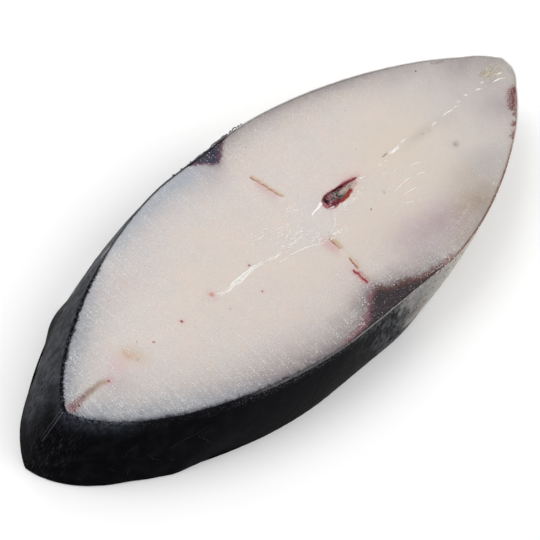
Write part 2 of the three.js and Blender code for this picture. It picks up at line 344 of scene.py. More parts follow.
# Soft fields of tint, by layer: centre x, centre y, reach x, reach y, strength
TINT_FIELDS = dict(
    cream=[(75, 6, 22, 12, 0.3), (122, -13, 18, 9, 0.6), (146, 2, 16, 10, 0.9), (92, -13, 16, 8, 0.4),
        (60, -4, 14, 10, 0.3), (150, -14, 12, 8, 0.5)],
    rose=[(24.5, 1.5, 4, 3, 0.6), (103.6, -10, 1.6, 4, 0.55), (102.4, 15, 1.6, 6, 0.4),
        (103.0, -22.6, 1.7, 3.6, 0.7), (98, -22, 6, 5, 0.2), (111.5, 1.6, 2, 1.4, 0.3),
        (18, -1.5, 4, 3, 0.3), (125, 3.2, 4, 1.6, 0.35), (124, 2.2, 4, 1.0, 0.5)],
    mauve=[(137, -25, 12, 6, 0.75), (126, -24, 9, 7, 0.4), (187, 8, 7, 4, 0.7), (184, -8, 6, 5, 0.45),
        (186.6, -9.6, 2.6, 2.6, 0.6), (44, 18, 10, 5, 0.2), (60, -27, 14, 5, 0.2),
        (196, 3.4, 3, 1.2, 0.5), (95, 28, 6, 4, 0.3), (187, -11, 4, 3, 0.4), (18, -2, 7, 5, 0.2),
        (142, -28, 8, 4, 0.4)],
    tan=[(152, -27, 10, 5, 0.8), (156, -20, 8, 5, 0.35), (193, -0.6, 4.5, 1.8, 0.6),
        (89.5, -33.4, 3.5, 1.2, 0.55), (140, -33, 9, 3, 0.6), (30, 0.5, 3, 3.5, 0.35),
        (106.4, -10, 0.8, 2.4, 0.6), (105.8, -18.5, 0.8, 2.2, 0.5), (104.4, -23, 0.6, 2.6, 0.5),
        (156, -28, 7, 3, 0.5)],
    plum=[(2.8, -0.1, 2.9, 1.9, 0.85), (6.8, 0.1, 3.4, 1.4, 0.62)],
    grey=[(10, 0.2, 6, 1.2, 0.5), (158, -0.8, 7, 1.6, 0.22), (162.9, -9.8, 1.1, 0.9, 0.6)],
    mist=[(168, -20, 12, 7, 0.6), (198, -3, 2.4, 4.5, 0.95), (189, 9.6, 3.6, 1.2, 0.7),
        (15, -5, 10, 6, 0.25), (172, 18, 12, 6, 0.5), (186, -8, 8, 5, 0.5), (170, -3, 8, 5, 0.35)],
    dusk=[(103, -30, 17, 6, 0.35)],
    straw=[(28.6, 2.4, 2.2, 1.8, 0.4), (29.6, -0.9, 1.6, 1.6, 0.4), (124, -2.2, 3, 1, 0.3)],
    salmon=[(28.3, 1.6, 1.4, 1.5, 0.62)],
    blush=[(103.7, -10, 1.3, 2.8, 0.35), (126, 2.0, 3.2, 0.7, 0.5), (103.0, -22.8, 1.2, 3.2, 0.5),
        (17.6, -0.8, 1.3, 0.9, 0.3)],
    clot=[(3.4, -0.2, 2.8, 1.3, 0.4), (8.0, 0.3, 2.2, 0.8, 0.22)],
)

def moved(line, dx, dy=0.0):
    """The same line, moved sideways."""
    return [(x + dx, y + dy) for x, y in line]


# Thin strokes of tint, by layer: line, half width, softness, strength
TINT_STROKES = dict(
    salmon=[(moved(LEFT_BLOODLINE[2:8], -0.9, -0.4), 0.2, 1.5, 0.3),
        (moved(LEFT_BLOODLINE[4:8], 0.3), 0.1, 0.9, 0.5),
        (moved(RIGHT_BLOODLINE, -0.9, 0.2), 0.2, 1.2, 0.25),
        (moved(RIGHT_BLOODLINE[:2], 0.3), 0.1, 0.8, 0.6),
        (moved(RIGHT_BLOODLINE_BROWN[1:], 0.2), 0.1, 0.8, 0.6),
        (moved(RIGHT_BLOODLINE_RED, -0.4), 0.2, 0.9, 0.55)],
    straw=[(moved(LEFT_BLOODLINE, 0.7), 0.1, 1.1, 0.6), (moved(RIGHT_BLOODLINE, 1.0), 0.2, 1.0, 0.65),
        ([(106.2, -12.6), (106.3, -16.4)], 0.1, 0.6, 0.4),
        (moved(RIGHT_BLOODLINE_BROWN, 0.6), 0.2, 0.9, 0.5)],
    amber=[(moved(LEFT_BLOODLINE, 0.6), 0.1, 0.8, 0.24), (moved(LEFT_BLOODLINE, 0.2), 0.0, 0.65, 0.55),
        (LEFT_BLOODLINE, 0.0, 0.4, 0.5), (moved(RIGHT_BLOODLINE, 0.8), 0.1, 0.8, 0.28),
        (moved(RIGHT_BLOODLINE, 0.2), 0.0, 0.6, 0.55),
        (moved(RIGHT_BLOODLINE_RED[1:], 0.8), 0.1, 0.6, 0.35),
        ([(124.0, -0.9), (127.6, -0.2)], 0.2, 0.6, 0.45), (RIGHT_BLOODLINE_BROWN, 0.12, 0.34, 0.75),
        (BACK_STREAK, 0.0, 0.8, 0.3)],
    ember=[(LEFT_BLOODLINE[:2], 0.05, 0.4, 0.6), (LEFT_BLOODLINE[3:5], 0.0, 0.3, 0.5),
        ([(118.8, -1.9), (121.0, -1.7), (124.2, -0.95)], 0.4, 0.35, 1.0)],
    clot=[(LEFT_BLOODLINE[5:7], 0.0, 0.25, 0.3), (RIGHT_BLOODLINE[:2], 0.0, 0.3, 0.4),
        (RIGHT_BLOODLINE_RED[4:], 0.0, 0.24, 0.4),
        ([(140.7, 0.95), (141.6, 0.9), (142.9, 1.0)], 0.05, 0.3, 0.6)],
    blood=[(RIGHT_BLOODLINE_BROWN, 0.0, 0.26, 0.4), (RIGHT_BLOODLINE_RED, 0.14, 0.5, 0.95)],
    plum=[([(82, -35.0), (88, -34.6), (93, -33.2)], 0.3, 1.2, 0.6), (BACK_STREAK[:3], 0.3, 1.0, 0.5)],
    rust=[([(80, -35.4), (86, -35.1), (92, -34.3)], 0.2, 0.6, 0.6),
        ([(112, -33.6), (118, -34.8), (125, -35.3), (131, -35.0)], 0.3, 0.9, 0.75)],
    tan=[(BACK_STREAK, 0.3, 1.1, 0.9), ([(188.4, 2.3), (190.5, 2.4), (194.6, 2.6)], 0.05, 0.4, 0.9),
        ([(188.6, 1.6), (192, 1.5), (196.4, 1.1)], 0.1, 0.5, 0.9)],
    pale=[(SEPTUM_UPPER, 0.12, 0.3, 0.8), (SEPTUM_LOWER, 0.08, 0.3, 0.6),
        ([(66, -1.2), (70, -1.5), (76, -1.2), (82, -1.4)], 0.3, 0.6, 0.35),
        (SEPTUM_SIDE[5:], 0.05, 0.3, 0.6), (BELLY_SEPTUM[0], 0.25, 0.3, 0.9)],
    grey=[([(179.8, 14.3), (181.8, 13.3), (183.4, 12.5)], 0.1, 0.6, 0.9)],
)
# Dark blood at the belly's right edge: line, reach round it, strength
EDGE_BLOOD = [
    ([(188.0, -11.6), (189.4, -10.4), (190.6, -9.2), (192.2, -8.3), (193.7, -8.0)], 2.1, 1.0),
    ([(186.2, -14.2), (188.2, -13.1)], 0.9, 0.75), ([(183.0, -16.5), (184.3, -15.9)], 1.0, 0.85),
    ([(179.4, -18.8), (181.3, -18.0)], 1.0, 0.7), ([(176.4, -20.9), (177.2, -20.5)], 0.5, 0.3),
]
# The order in which the tint layers are laid over the flesh
LAYERS = ("cream", "rose", "mauve", "tan", "mist", "salmon", "dusk", "frost", "haze", "plum", "grey",
          "straw", "blush", "amber", "ember", "clot", "maroon", "blood", "shade", "pale", "rust")


def relief_lines():
    return ([SEPTUM_UPPER, SEPTUM_LOWER, SEPTUM_NECK, SEPTUM_SIDE, VERTEBRA_ARC, LEFT_BLOODLINE,
             RIGHT_BLOODLINE, RIGHT_BLOODLINE_BROWN, RIGHT_BLOODLINE_RED, BACK_STREAK, [(0.5, 0), (5, 0)],
             [(62, 0.4), (63.6, 0.4)], [(188.6, -11.8), (193.8, -8.2)]]
            + BELLY_SEPTUM + FLAKE_ARCS + [[(x, y)] for name, x, y, radius, strength in SPOTS])


def paint(layers, name, strength):
    """Lays a tint over a layer; the stronger of the two stays."""
    layers[name] = np.maximum(layers[name], strength)


def paint_strokes(layers, plan, strokes):
    for name, lines in strokes.items():
        for line, half_width, softness, strength in lines:
            stroke = 1 - smooth_step(line_distance(plan, line), half_width, half_width + softness)
            paint(layers, name, strength * stroke)


def edge_layers(layers, plan, edge):
    """Tints that follow the rim; edge is the way in from the skin."""
    x, y = plan[:, 0], plan[:, 1]
    right = smooth_step(-y, -1.5, 1.5)
    left = 1 - right
    speckle = value_noise(plan, 0.55, 31)

    def rising(low, high):
        return smooth_step(x, low, high)

    def falling(low, high):
        return 1 - smooth_step(x, low, high)

    def from_rim(reach):
        return np.exp(-edge / reach)

    # Right flank and back: the black skin shows through the last two millimetres of flesh
    torn = edge + 0.5 * speckle + 0.35 * value_noise(plan, 1.9, 34)
    through = np.exp(-((np.maximum(torn, 0) / (1.05 - 0.45 * rising(34, 56))) ** 1.25))
    paint(layers, "shade", right * (0.25 + 0.7 * falling(60, 85)) * falling(122, 132) * through)
    dusk = np.minimum(1, 1.17 * from_rim(6.1)) * rising(14, 46)
    paint(layers, "dusk", right * dusk * (1 - 0.55 * rising(112, 135)) * falling(150, 180))
    # Left flank: a ragged black line at the back, a soft grey edge over the side
    ragged = 1 - smooth_step(edge + 0.4 * speckle + 0.3 * value_noise(plan, 1.7, 32), 0.3, 0.75)
    paint(layers, "shade", left * falling(38, 56) * rising(1, 3) * 0.95 * ragged)
    soft = np.exp(-np.maximum(edge + 0.25 * speckle, 0) / 0.5)
    paint(layers, "shade", left * rising(38, 56) * soft * 0.4 * falling(104, 114))
    grey_edge = 0.95 * from_rim(3.8) * rising(78, 96) * (1 - 0.1 * rising(104, 116))
    paint(layers, "dusk", left * grey_edge * (1 - 0.5 * rising(150, 180)))
    # Frost over the back and along the left flank, haze round the back tip
    paint(layers, "frost", 0.85 * from_rim(4.2) * falling(34, 66))
    strong = 1.25 + 0.5 * rising(60, 76)
    frost_left = left * np.minimum(1.0, strong * from_rim(5.0)) * rising(38, 56) * falling(88, 102)
    paint(layers, "frost", 0.95 * frost_left)
    haze = np.minimum(1, 1.2 * from_rim(4.6 + 1.4 * right)) * falling(18, 52)
    paint(layers, "haze", haze * (0.85 + 0.3 * speckle) * (1 - np.exp(-((y / 1.8) ** 2))))
    # Belly: a thin red-brown line on the right flank, a see-through grey rim round the tip
    line = np.exp(-((edge / 0.42) ** 2)) * (0.8 + 0.3 * speckle)
    paint(layers, "rust", right * rising(122, 132) * line * (1 - 0.6 * rising(160, 178)))
    paint(layers, "tan", 0.55 * right * rising(122, 132) * from_rim(1.6))
    paint(layers, "mist", 0.7 * rising(150, 200))
    paint(layers, "mist", 0.8 * rising(120, 150) * left * from_rim(1.2))
    # A dotted white seam beside the right dark muscle, just inside the skin
    dots = smooth_step(value_noise(plan, 0.45, 33), -0.35, 0.3)
    seam = np.exp(-(((edge - 0.45) / 0.2) ** 2)) * dots
    paint(layers, "pale", 0.85 * right * seam * rising(80, 88) * falling(114, 124))


def canal_layers(layers, plan, warp):
    """Blood that stains the flesh round the canal; along its tail on the left side only."""
    x, y = plan[:, 0], plan[:, 1]
    canal = np.where(inside(plan, canal_outline()), 0, ring_distance(plan, canal_outline()))
    on_left = smooth_step(y - 0.02 * (x - 112), 0.0, 0.6)
    reach = 0.3 + 0.6 * smooth_step(x, 121, 125) * on_left
    stain = 1 - smooth_step(canal + 0.3 * warp[:, 0], 0.0, reach)
    stain = stain * (1 - 0.95 * smooth_step(x, 118, 120) * (1 - on_left))
    tail = (1 - smooth_step(x, 127.5, 130.0)) * smooth_step(x - 0.6 * np.maximum(-y, 0), 112.0, 114.5)
    paint(layers, "blood", 0.85 * stain * tail)
    paint(layers, "rose", 0.6 * np.exp(-canal / 0.9) * (x > 111))


def muscle_layers(layers, plan, edge):
    """The grey and pink halo of each dark muscle, wide on the right flank and narrow on the left."""
    near = smooth_step(-edge, -17, -7)
    back_side = 1 - smooth_step(plan[:, 0], 101, 106)
    halos = ((LEFT_MUSCLE, 0.95, 0.65, 0.85), (RIGHT_MUSCLE, 6.5, 2.5, 1.0))
    for muscle, reach, wider_behind, strength in halos:
        away = np.maximum(-muscle_depth(plan, muscle), 0)
        paint(layers, "dusk", strength * np.exp(-away / (reach + wider_behind * back_side)) * near)
        paint(layers, "rose", 0.35 * np.exp(-away / 0.8) * near)


def face_layers(plan, edge):
    """Strength of every tint layer at the points of the face's plan."""
    x, y = plan[:, 0], plan[:, 1]
    warp = np.stack([value_noise(plan, 0.9, 21), value_noise(plan, 0.9, 22)], 1) * 0.14
    ragged = plan + warp
    layers = {name: np.zeros(len(plan)) for name in LAYERS}
    for name, fields in TINT_FIELDS.items():
        for cx, cy, reach_x, reach_y, strength in fields:
            field = strength * np.exp(-(((x - cx) / reach_x) ** 2) - ((y - cy) / reach_y) ** 2)
            layers[name] = 1 - (1 - layers[name]) * (1 - field)
    paint_strokes(layers, ragged, TINT_STROKES)
    for name, px, py, radius, strength in SPOTS:
        distance = np.hypot(ragged[:, 0] - px, ragged[:, 1] - py)
        paint(layers, name, strength * (1 - smooth_step(distance, radius * 0.3, radius * 1.3)))
    for line, reach, strength in EDGE_BLOOD:
        distance = line_distance(plan + 3.0 * warp, line)
        core = 1 - smooth_step(distance, 0.1 * reach, 1.25 * reach)
        paint(layers, "maroon", strength * core * (0.45 + 0.55 * np.exp(-edge / 2.4)))
        paint(layers, "rose", 0.8 * strength * np.exp(-((distance / (1.7 * reach)) ** 2)))
        around = 1 - smooth_step(distance, 0.4 * reach, 1.6 * reach)
        paint(layers, "rust", 0.7 * strength * around * np.exp(-edge / 0.7))
    edge_layers(layers, plan, edge)
    back_tip = np.exp(-((x / 4.5) ** 2) - ((y / 1.6) ** 2))
    layers["shade"] *= 1 - 0.7 * back_tip
    canal_layers(layers, plan, warp)
    muscle_layers(layers, plan, edge)
    return layers


def muscle_depth(plan, muscle):
    """How deep a point lies within a dark muscle, from its inner edge; negative in the flesh."""
    stations, depths = np.array(muscle["depth"]).T
    x = np.clip(plan[:, 0], stations[0], stations[-1])
    reach = np.interp(x, stations, depths)
    inward = rim_at(muscle["side"], plan[:, 0]) - muscle["side"] * plan[:, 1]
    slope = np.abs(np.gradient(depths, stations))
    steep = np.sqrt(1 + np.interp(x, stations, slope) ** 2)
    beyond = np.maximum(stations[0] - plan[:, 0], plan[:, 0] - stations[-1]).clip(0)
    return (reach - inward) / steep - beyond


RIM_INSET = skin_thickness(RING_STATION, RING_SIDE) - SKIN_OVERLAP
WALL_INSET = np.maximum(RIM_INSET, LEAST_WALL_INSET)
FLESH_RING = slice_ring(1.0, RIM_INSET)
FLESH_LEFT = FLESH_RING[RING_SIDE > 0][::-1]
FLESH_RIGHT = FLESH_RING[RING_SIDE < 0]


def rim_at(side, x):
    """Half width of the flesh on one flank at x."""
    edge = FLESH_LEFT if side > 0 else FLESH_RIGHT
    return np.abs(np.interp(x, edge[:, 0], edge[:, 1]))


def face_relief(plan, edge):
    """Depth of the cut face below its highest level, in millimetres."""
    x, y = plan[:, 0], plan[:, 1]
    depth = 0.05 * (1 + layered_noise(plan, 17, 41)) + 0.03 * (1 + layered_noise(plan, 4.5, 42))
    depth += 0.4 * (1 - np.clip(edge / 1.2, 0, 1)) ** 2
    stretched = plan * np.array([1.0, 0.12])
    depth += 0.02 * (1 + value_noise(stretched, 0.9, 43)) * np.exp(-edge / 14)
    for line in (SEPTUM_UPPER, SEPTUM_SIDE, VERTEBRA_ARC, *BELLY_SEPTUM):
        depth += 0.1 * np.exp(-((line_distance(plan, line) / 0.6) ** 2))
    for line in (LEFT_BLOODLINE, RIGHT_BLOODLINE, RIGHT_BLOODLINE_BROWN, RIGHT_BLOODLINE_RED):
        uneven = 0.17 * (1 + value_noise(plan, 1.2, 44))
        depth += uneven * np.exp(-((line_distance(plan, line) / 0.35) ** 2))
    for line in FLAKE_ARCS:
        depth += 0.1 * np.exp(-((line_distance(plan, line) / 0.6) ** 2))
    ring = np.hypot(x - PIT["x"], y - PIT["y"]) / PIT["radius"]
    depth += PIT["depth"] * np.exp(-(ring**2)) - 0.1 * np.exp(-(((ring - 1.5) / 0.35) ** 2))
    canal = ring_distance(plan, canal_outline())
    depth += 0.25 * np.exp(-canal / 0.3)
    for muscle in (LEFT_MUSCLE, RIGHT_MUSCLE):
        depth += 0.15 * smooth_step(muscle_depth(plan, muscle), -0.5, 1.0)
    return np.maximum(depth, 0.0)


def face_height(points, edge, upper=True):
    depth = face_relief(points, edge)
    if upper:
        return THICKNESS - FACE_DEPTH - depth
    return 0.5 * np.maximum(depth - 0.35, 0)


# ---------------------------------------------------------------------------------------------
# Meshes
# ---------------------------------------------------------------------------------------------
def mesh_object(name, vertices, faces, finish, layers=None, sharp=math.radians(50)):
    """A finished piece at the origin, with its place in its mesh and its layers as attributes."""
    mesh = bpy.data.meshes.new(name)
    mesh.from_pydata(np.asarray(vertices).tolist(), [], [list(map(int, f)) for f in faces])
    for layer, values in (layers or {}).items():
        attribute = mesh.attributes.new(layer, "FLOAT", "POINT")
        attribute.data.foreach_set("value", np.asarray(values, np.float32))
    mesh.materials.append(finish)
    mesh.validate()
    mesh.shade_smooth()
    mesh.set_sharp_from_angle(angle=sharp)
    piece = bpy.data.objects.new(name, mesh)
    bpy.context.scene.collection.objects.link(piece)
    return piece


def grid_faces(rows, columns, wrap_columns=True, wrap_rows=False):
    faces = []
    for row in range(rows if wrap_rows else rows - 1):
        for column in range(columns if wrap_columns else columns - 1):
            a = row * columns + column
            b = row * columns + (column + 1) % columns
            up = ((row + 1) % rows) * columns
            faces.append((a, b, up + (column + 1) % columns, up + column))
    return faces


def spread_points(spacing, low, high):
    """A jittered triangular grid of points over a box."""
    rows = np.arange(low[1], high[1], spacing * math.sqrt(3) / 2)
    points = []
    for i, y in enumerate(rows):
        x = np.arange(low[0] + (i % 2) * spacing / 2, high[0], spacing)
        points.append(np.stack([x, np.full(len(x), y)], 1))
    points = np.concatenate(points)
    return points + random.uniform(-0.18, 0.18, points.shape) * spacing


def points_along(line, reach, spacing):
    line = np.asarray(line, float)
    low, high = line.min(0) - reach, line.max(0) + reach
    points = spread_points(spacing, low, high)
    return points[line_distance(points, line) < reach]


def muscle_edge(muscle):
    """Inner edge of a dark muscle, between two vertices of the flesh's own rim."""
    side = muscle["side"]
    rim = FLESH_RING[RING_SIDE == side]
    stations, depths = np.array(muscle["depth"]).T
    across = np.flatnonzero((rim[:, 0] > stations[0]) & (rim[:, 0] < stations[-1]))
    first, last = across[0] - 1, across[-1] + 1
    inner = rim[first + 1:last].copy()
    ragged = 1 + 0.07 * layered_noise(inner, 1.3, 5)
    inner[:, 1] -= side * np.interp(inner[:, 0], stations, depths) * ragged
    offset = int(np.flatnonzero(RING_SIDE == side)[0])
    return offset + first, inner, offset + last


class CutPlan:
    """One cut face's plan, divided along the edges of the layers that run through the slice."""

    def __init__(self, spacing, marks):
        points = [FLESH_RING]
        edges = self.loop(0, len(FLESH_RING))
        count = len(FLESH_RING)
        for outline in (canal_outline(), vertebra_outline(), fin_outline()):
            edges += self.loop(count, len(outline))
            points.append(outline)
            count += len(outline)
        self.muscles = []
        for muscle in (LEFT_MUSCLE, RIGHT_MUSCLE):
            first, inner, last = muscle_edge(muscle)
            chain = [first, *range(count, count + len(inner)), last]
            edges += list(zip(chain[:-1], chain[1:]))
            rim = np.arange(first, last + 1)
            self.muscles.append(np.concatenate([FLESH_RING[rim], inner[::-1]]))
            points.append(inner)
            count += len(inner)
        outlines = np.concatenate(points)
        loose = [spread_points(spacing, (0, -38), (SLICE_LENGTH, 38))]
        loose += [points_along(line, 1.1, MARK_SPACING) for line in marks]
        loose = np.concatenate(loose)
        loose = loose[inside(loose, FLESH_RING)]
        tree = plan_tree(outlines)
        gap = np.array([tree.find((x, y, 0))[2] for x, y in loose])
        loose = loose[gap > MARK_SPACING]
        everything = np.concatenate([outlines, loose])
        made = delaunay_2d_cdt([Vector(p) for p in everything.tolist()], edges, [], 0, 1e-7)
        self.points = np.array([tuple(p) for p in made[0]])
        triangles = np.array(made[2])
        source = made[3]
        self.fixed_index = {first: i for i, found in enumerate(source) for first in found if first < count}
        middle = self.points[triangles].mean(1)
        a, b, c = (self.points[triangles[:, k]] for k in range(3))
        turn = (b - a)[:, 0] * (c - a)[:, 1] - (b - a)[:, 1] * (c - a)[:, 0]
        triangles[turn < 0] = triangles[turn < 0][:, ::-1]
        zone = np.where(inside(middle, FLESH_RING), "flesh", "outside").astype("<U20")
        for name, outline in (("dark_muscle_left", self.muscles[0]), ("dark_muscle_right", self.muscles[1]),
                              ("vertebra", vertebra_outline()), ("fin_root", fin_outline()),
                              ("canal", canal_outline())):
            zone[inside(middle, outline)] = name
        zone[np.abs(turn) < 1e-9] = "outside"
        self.zones = {name: triangles[zone == name] for name in np.unique(zone)}
        self.edge = ring_distance(self.points, FLESH_RING)

    @staticmethod
    def loop(start, count):
        return [(start + i, start + (i + 1) % count) for i in range(count)]


def boundary(triangles):
    """Directed edges on the outside of a set of counter-clockwise triangles."""
    directed = {}
    for a, b, c in triangles.tolist():
        for edge in ((a, b), (b, c), (c, a)):
            directed[edge] = True
    return [edge for edge in directed if (edge[1], edge[0]) not in directed]


def layer_values(points, edge):
    values = face_layers(points, edge)
    muscle = np.maximum(muscle_depth(points, LEFT_MUSCLE), muscle_depth(points, RIGHT_MUSCLE))
    values.update(station=points[:, 0], across=points[:, 1], edge=edge, muscle=muscle)
    return values


def build_layer(name, finish, upper, under, wall_rows):
    """A layer that runs through the slice: its upper and lower faces and the wall between them."""
    vertices, layers, faces = [], [], []
    index = []
    for plan, is_upper in ((upper, True), (under, False)):
        triangles = plan.zones[name]
        used = np.unique(triangles)
        slot = {int(v): len(vertices) + i for i, v in enumerate(used)}
        points, edge = plan.points[used], plan.edge[used]
        leaning = lean(points, float(is_upper))
        vertices.extend(to_part(leaning, face_height(points, edge, is_upper)).tolist())
        layers.append(layer_values(points, edge))
        order = triangles if is_upper else triangles[:, ::-1]
        faces.extend([[slot[int(v)] for v in t] for t in order])
        index.append((plan, slot))
    (top_plan, top_slot), (low_plan, low_slot) = index
    back = {v: k for k, v in top_plan.fixed_index.items()}
    wall = boundary(top_plan.zones[name])
    corners = sorted({v for edge in wall for v in edge})
    shared = np.array([back[v] for v in corners])
    at_rim = shared < len(FLESH_RING)
    low_of = {v: low_slot[low_plan.fixed_index[int(k)]] for v, k in zip(corners, shared)}
    plan_points, plan_edge = top_plan.points[corners], top_plan.edge[corners]
    columns = [{v: top_slot[v] for v in corners}]
    for row in range(1, wall_rows):
        height = 1 - row / wall_rows
        points = lean(plan_points, height)
        points[at_rim] = slice_ring(height, WALL_INSET)[shared[at_rim]]
        columns.append({v: len(vertices) + i for i, v in enumerate(corners)})
        vertices.extend(to_part(points, THICKNESS * height).tolist())
        layers.append(layer_values(plan_points, plan_edge))
    columns.append(low_of)
    for upper_row, lower_row in zip(columns[:-1], columns[1:]):
        for a, b in wall:
            faces.append([upper_row[a], lower_row[a], lower_row[b], upper_row[b]])
    merged = {key: np.concatenate([values[key] for values in layers]) for key in layers[0]}
    return mesh_object(name, vertices, faces, finish, merged)


# ---------------------------------------------------------------------------------------------
# Finishes
# ---------------------------------------------------------------------------------------------
LIGHT_LEVEL = 1.12  # how bright a white level surface comes out under the studio light


def shade(red, green, blue):
    """Linear colour of a surface that looks like this sRGB colour under the studio light."""
    shares = [c / 255 for c in (red, green, blue)]
    linear = [((s + 0.055) / 1.055) ** 2.4 if s > 0.04045 else s / 12.92 for s in shares]
    return (*[value / LIGHT_LEVEL for value in linear], 1.0)


class Value:
    """What a shader node gives, for sums and products in plain notation."""

    def __init__(self, finish, socket):
        self.finish = finish
        self.socket = socket

    def __add__(self, other):
        return self.finish.math("ADD", self, other)

    def __sub__(self, other):
        return self.finish.math("SUBTRACT", self, other)

    def __rsub__(self, other):
        return self.finish.math("SUBTRACT", other, self)

    def __mul__(self, other):
        return self.finish.math("MULTIPLY", self, other)

    def __truediv__(self, other):
        return self.finish.math("DIVIDE", self, other)

    def step(self, low, high, to_low=0.0, to_high=1.0):
        """Goes softly from to_low, where this value is low, to to_high, where it is high."""
        inputs = {0: self, 1: low, 2: high, 3: to_low, 4: to_high}
        return self.finish.node("ShaderNodeMapRange", inputs, interpolation_type="SMOOTHSTEP")

    def blend(self, a, b):
        """Colour a where this value is 0, colour b where it is 1."""
        return self.finish.mix(self, a, b)


class Finish:
    """One procedural material. Inputs may be numbers, colours or what other nodes give."""

    def __init__(self, name):
        self.material = bpy.data.materials.new(name)
        self.material.use_nodes = True
        self.nodes = self.material.node_tree.nodes
        self.nodes.clear()
        place = self.node("ShaderNodeTexCoord", {}, "Object")
        inputs = {"Vector": place, "Location": (ORIGIN_X, ORIGIN_Y, 0), "Scale": (1 / MM,) * 3}
        self.place = self.node("ShaderNodeMapping", inputs, "Vector")

    def put(self, socket, value):
        if isinstance(value, Value):
            self.material.node_tree.links.new(value.socket, socket)
        else:
            socket.default_value = value

    def node(self, kind, inputs, output=0, **settings):
        node = self.nodes.new(kind)
        for key, setting in settings.items():
            setattr(node, key, setting)
        for socket, value in inputs.items():
            self.put(node.inputs[socket], value)
        return Value(self, node.outputs[output])

    def layer(self, name):
        return self.node("ShaderNodeAttribute", {}, "Fac", attribute_name=name)

    def math(self, operation, a, b):
        return self.node("ShaderNodeMath", {0: a, 1: b}, operation=operation)

    def most(self, a, b):
        return self.math("MAXIMUM", a, b)

    def mix(self, share, a, b):
        return self.node("ShaderNodeMix", {0: share, 6: a, 7: b}, 2, data_type="RGBA")

    def vector(self, x, y):
        return self.node("ShaderNodeCombineXYZ", {0: x, 1: y})

    def scaled(self, stretch, seed, place=None):
        inputs = {"Location": (seed, seed * 0.7, seed * 0.3), "Scale": stretch, "Vector": place or self.place}
        return self.node("ShaderNodeMapping", inputs, "Vector")

    def grain(self, size, seed, detail, stretch=(1, 1, 1), place=None, roughness=0.5, warp=0.0):
        """Noise from 0 to 1 whose lumps are about size millimetres, stretched along an axis if asked."""
        vector = self.scaled(tuple(1 / (size * s) for s in stretch), seed, place)
        inputs = {"Vector": vector, "Scale": 1.0, "Detail": detail}
        inputs.update(Roughness=roughness, Distortion=warp)
        return self.node("ShaderNodeTexNoise", inputs, "Fac")

    def specks(self, size, seed, radius, share):
        """Small dots: 1 in a dot's middle; only a share of the cells holds one."""
        cells = self.nodes.new("ShaderNodeTexVoronoi")
        cells.inputs["Scale"].default_value = 1.0
        self.put(cells.inputs["Vector"], self.scaled((1 / size,) * 3, seed))
        dot = Value(self, cells.outputs["Distance"]).step(radius, radius * 0.4)
        chance = self.node("ShaderNodeSeparateColor", {0: Value(self, cells.outputs["Color"])})
        return dot * self.math("LESS_THAN", chance, share)

    def bump(self, height, distance, strength):
        inputs = {"Height": height, "Distance": distance * MM, "Strength": strength}
        return self.node("ShaderNodeBump", inputs, "Normal")

    def finish(self, colour, roughness, normal=None, **constants):
        inputs = {"Base Color": colour, "Roughness": roughness}
        if normal is not None:
            inputs["Normal"] = normal
        inputs.update((name.replace("_", " "), value) for name, value in constants.items())
        surface = self.node("ShaderNodeBsdfPrincipled", inputs)
        self.put(self.nodes.new("ShaderNodeOutputMaterial").inputs["Surface"], surface)
        return self.material


# Looks of the cut face, as sRGB under the studio light
FLESH = shade(216, 206, 200)
FLESH_WARM = shade(219, 206, 198)
FLESH_COOL = shade(212, 203, 199)
PORE_GREY = shade(180, 170, 164)
GLINT_WHITE = shade(247, 241, 237)
# White of painted glints: the sparkle of the wet cut face, along the saw marks and in dots
PAINTED_GLINT_WHITE = shade(242, 243, 244)
TINTS = dict(
    cream=shade(216, 203, 189), rose=shade(210, 180, 180), mauve=shade(176, 156, 162),
    tan=shade(176, 158, 138), mist=shade(172, 168, 166), salmon=shade(205, 142, 128),
    dusk=shade(122, 115, 118), frost=shade(168, 172, 180), haze=shade(134, 139, 147),
    plum=shade(138, 106, 112), grey=shade(142, 134, 128), straw=shade(206, 188, 160),
    blush=shade(196, 140, 146), amber=shade(164, 100, 74), ember=shade(138, 44, 28),
    clot=shade(84, 44, 46), maroon=shade(106, 42, 44), blood=shade(140, 42, 54),
    shade=shade(40, 39, 46), pale=shade(240, 236, 231), rust=shade(124, 82, 72),
)
# Layers with a crisp, ragged edge, and how ragged it is
CRISP = dict(salmon=0.3, plum=0.5, amber=0.45, ember=0.4, clot=0.5, maroon=0.9, blood=0.45,
             shade=0.35, pale=0.5, rust=0.4)
CLOT_TINTS = dict(
    slate=shade(122, 114, 110), pale=shade(172, 158, 148), ember=shade(138, 44, 28), rose=shade(170, 92, 104),
    meat=shade(206, 188, 186), blood=shade(100, 12, 22), black=shade(30, 18, 18),
)
SOFT_SKIN_LIGHT = dict(Subsurface_Weight=0.2, Subsurface_Scale=0.0014, Subsurface_Radius=(1.0, 0.55, 0.42))
# Two-toned finishes of the small pieces: dark tone, light tone, grain size, roughness, specular level
PLAIN_FINISHES = dict(
    pale_membrane=(shade(128, 114, 104), shade(182, 166, 152), 0.9, 0.35, 0.3),
    white_bone=(shade(240, 236, 232), shade(250, 248, 246), 0.8, 0.35, 0.4),
    white_connective_tissue=(shade(244, 238, 232), shade(253, 250, 246), 0.6, 0.3, 0.4),
    # The saw's raised burrs: their near-white is a painted glint along the saw lines
    glinting_saw_burr=(shade(224, 219, 215), shade(240, 239, 238), 0.6, 0.3, 0.4),
    # frost is the finish of the white beads, which are painted glints standing in for the sparkle of the wet
    # cut face
    frost=(shade(240, 240, 242), shade(252, 252, 252), 0.5, 0.2, 0.4),
    fin_fibre=(shade(172, 152, 112), shade(222, 212, 192), 0.7, 0.35, 0.35),
    clear_shred=(shade(44, 42, 46), shade(112, 112, 116), 0.5, 0.25, 0.5),
    creased_skin=(shade(18, 19, 22), shade(46, 48, 54), 1.5, 0.4, 0.1),
)


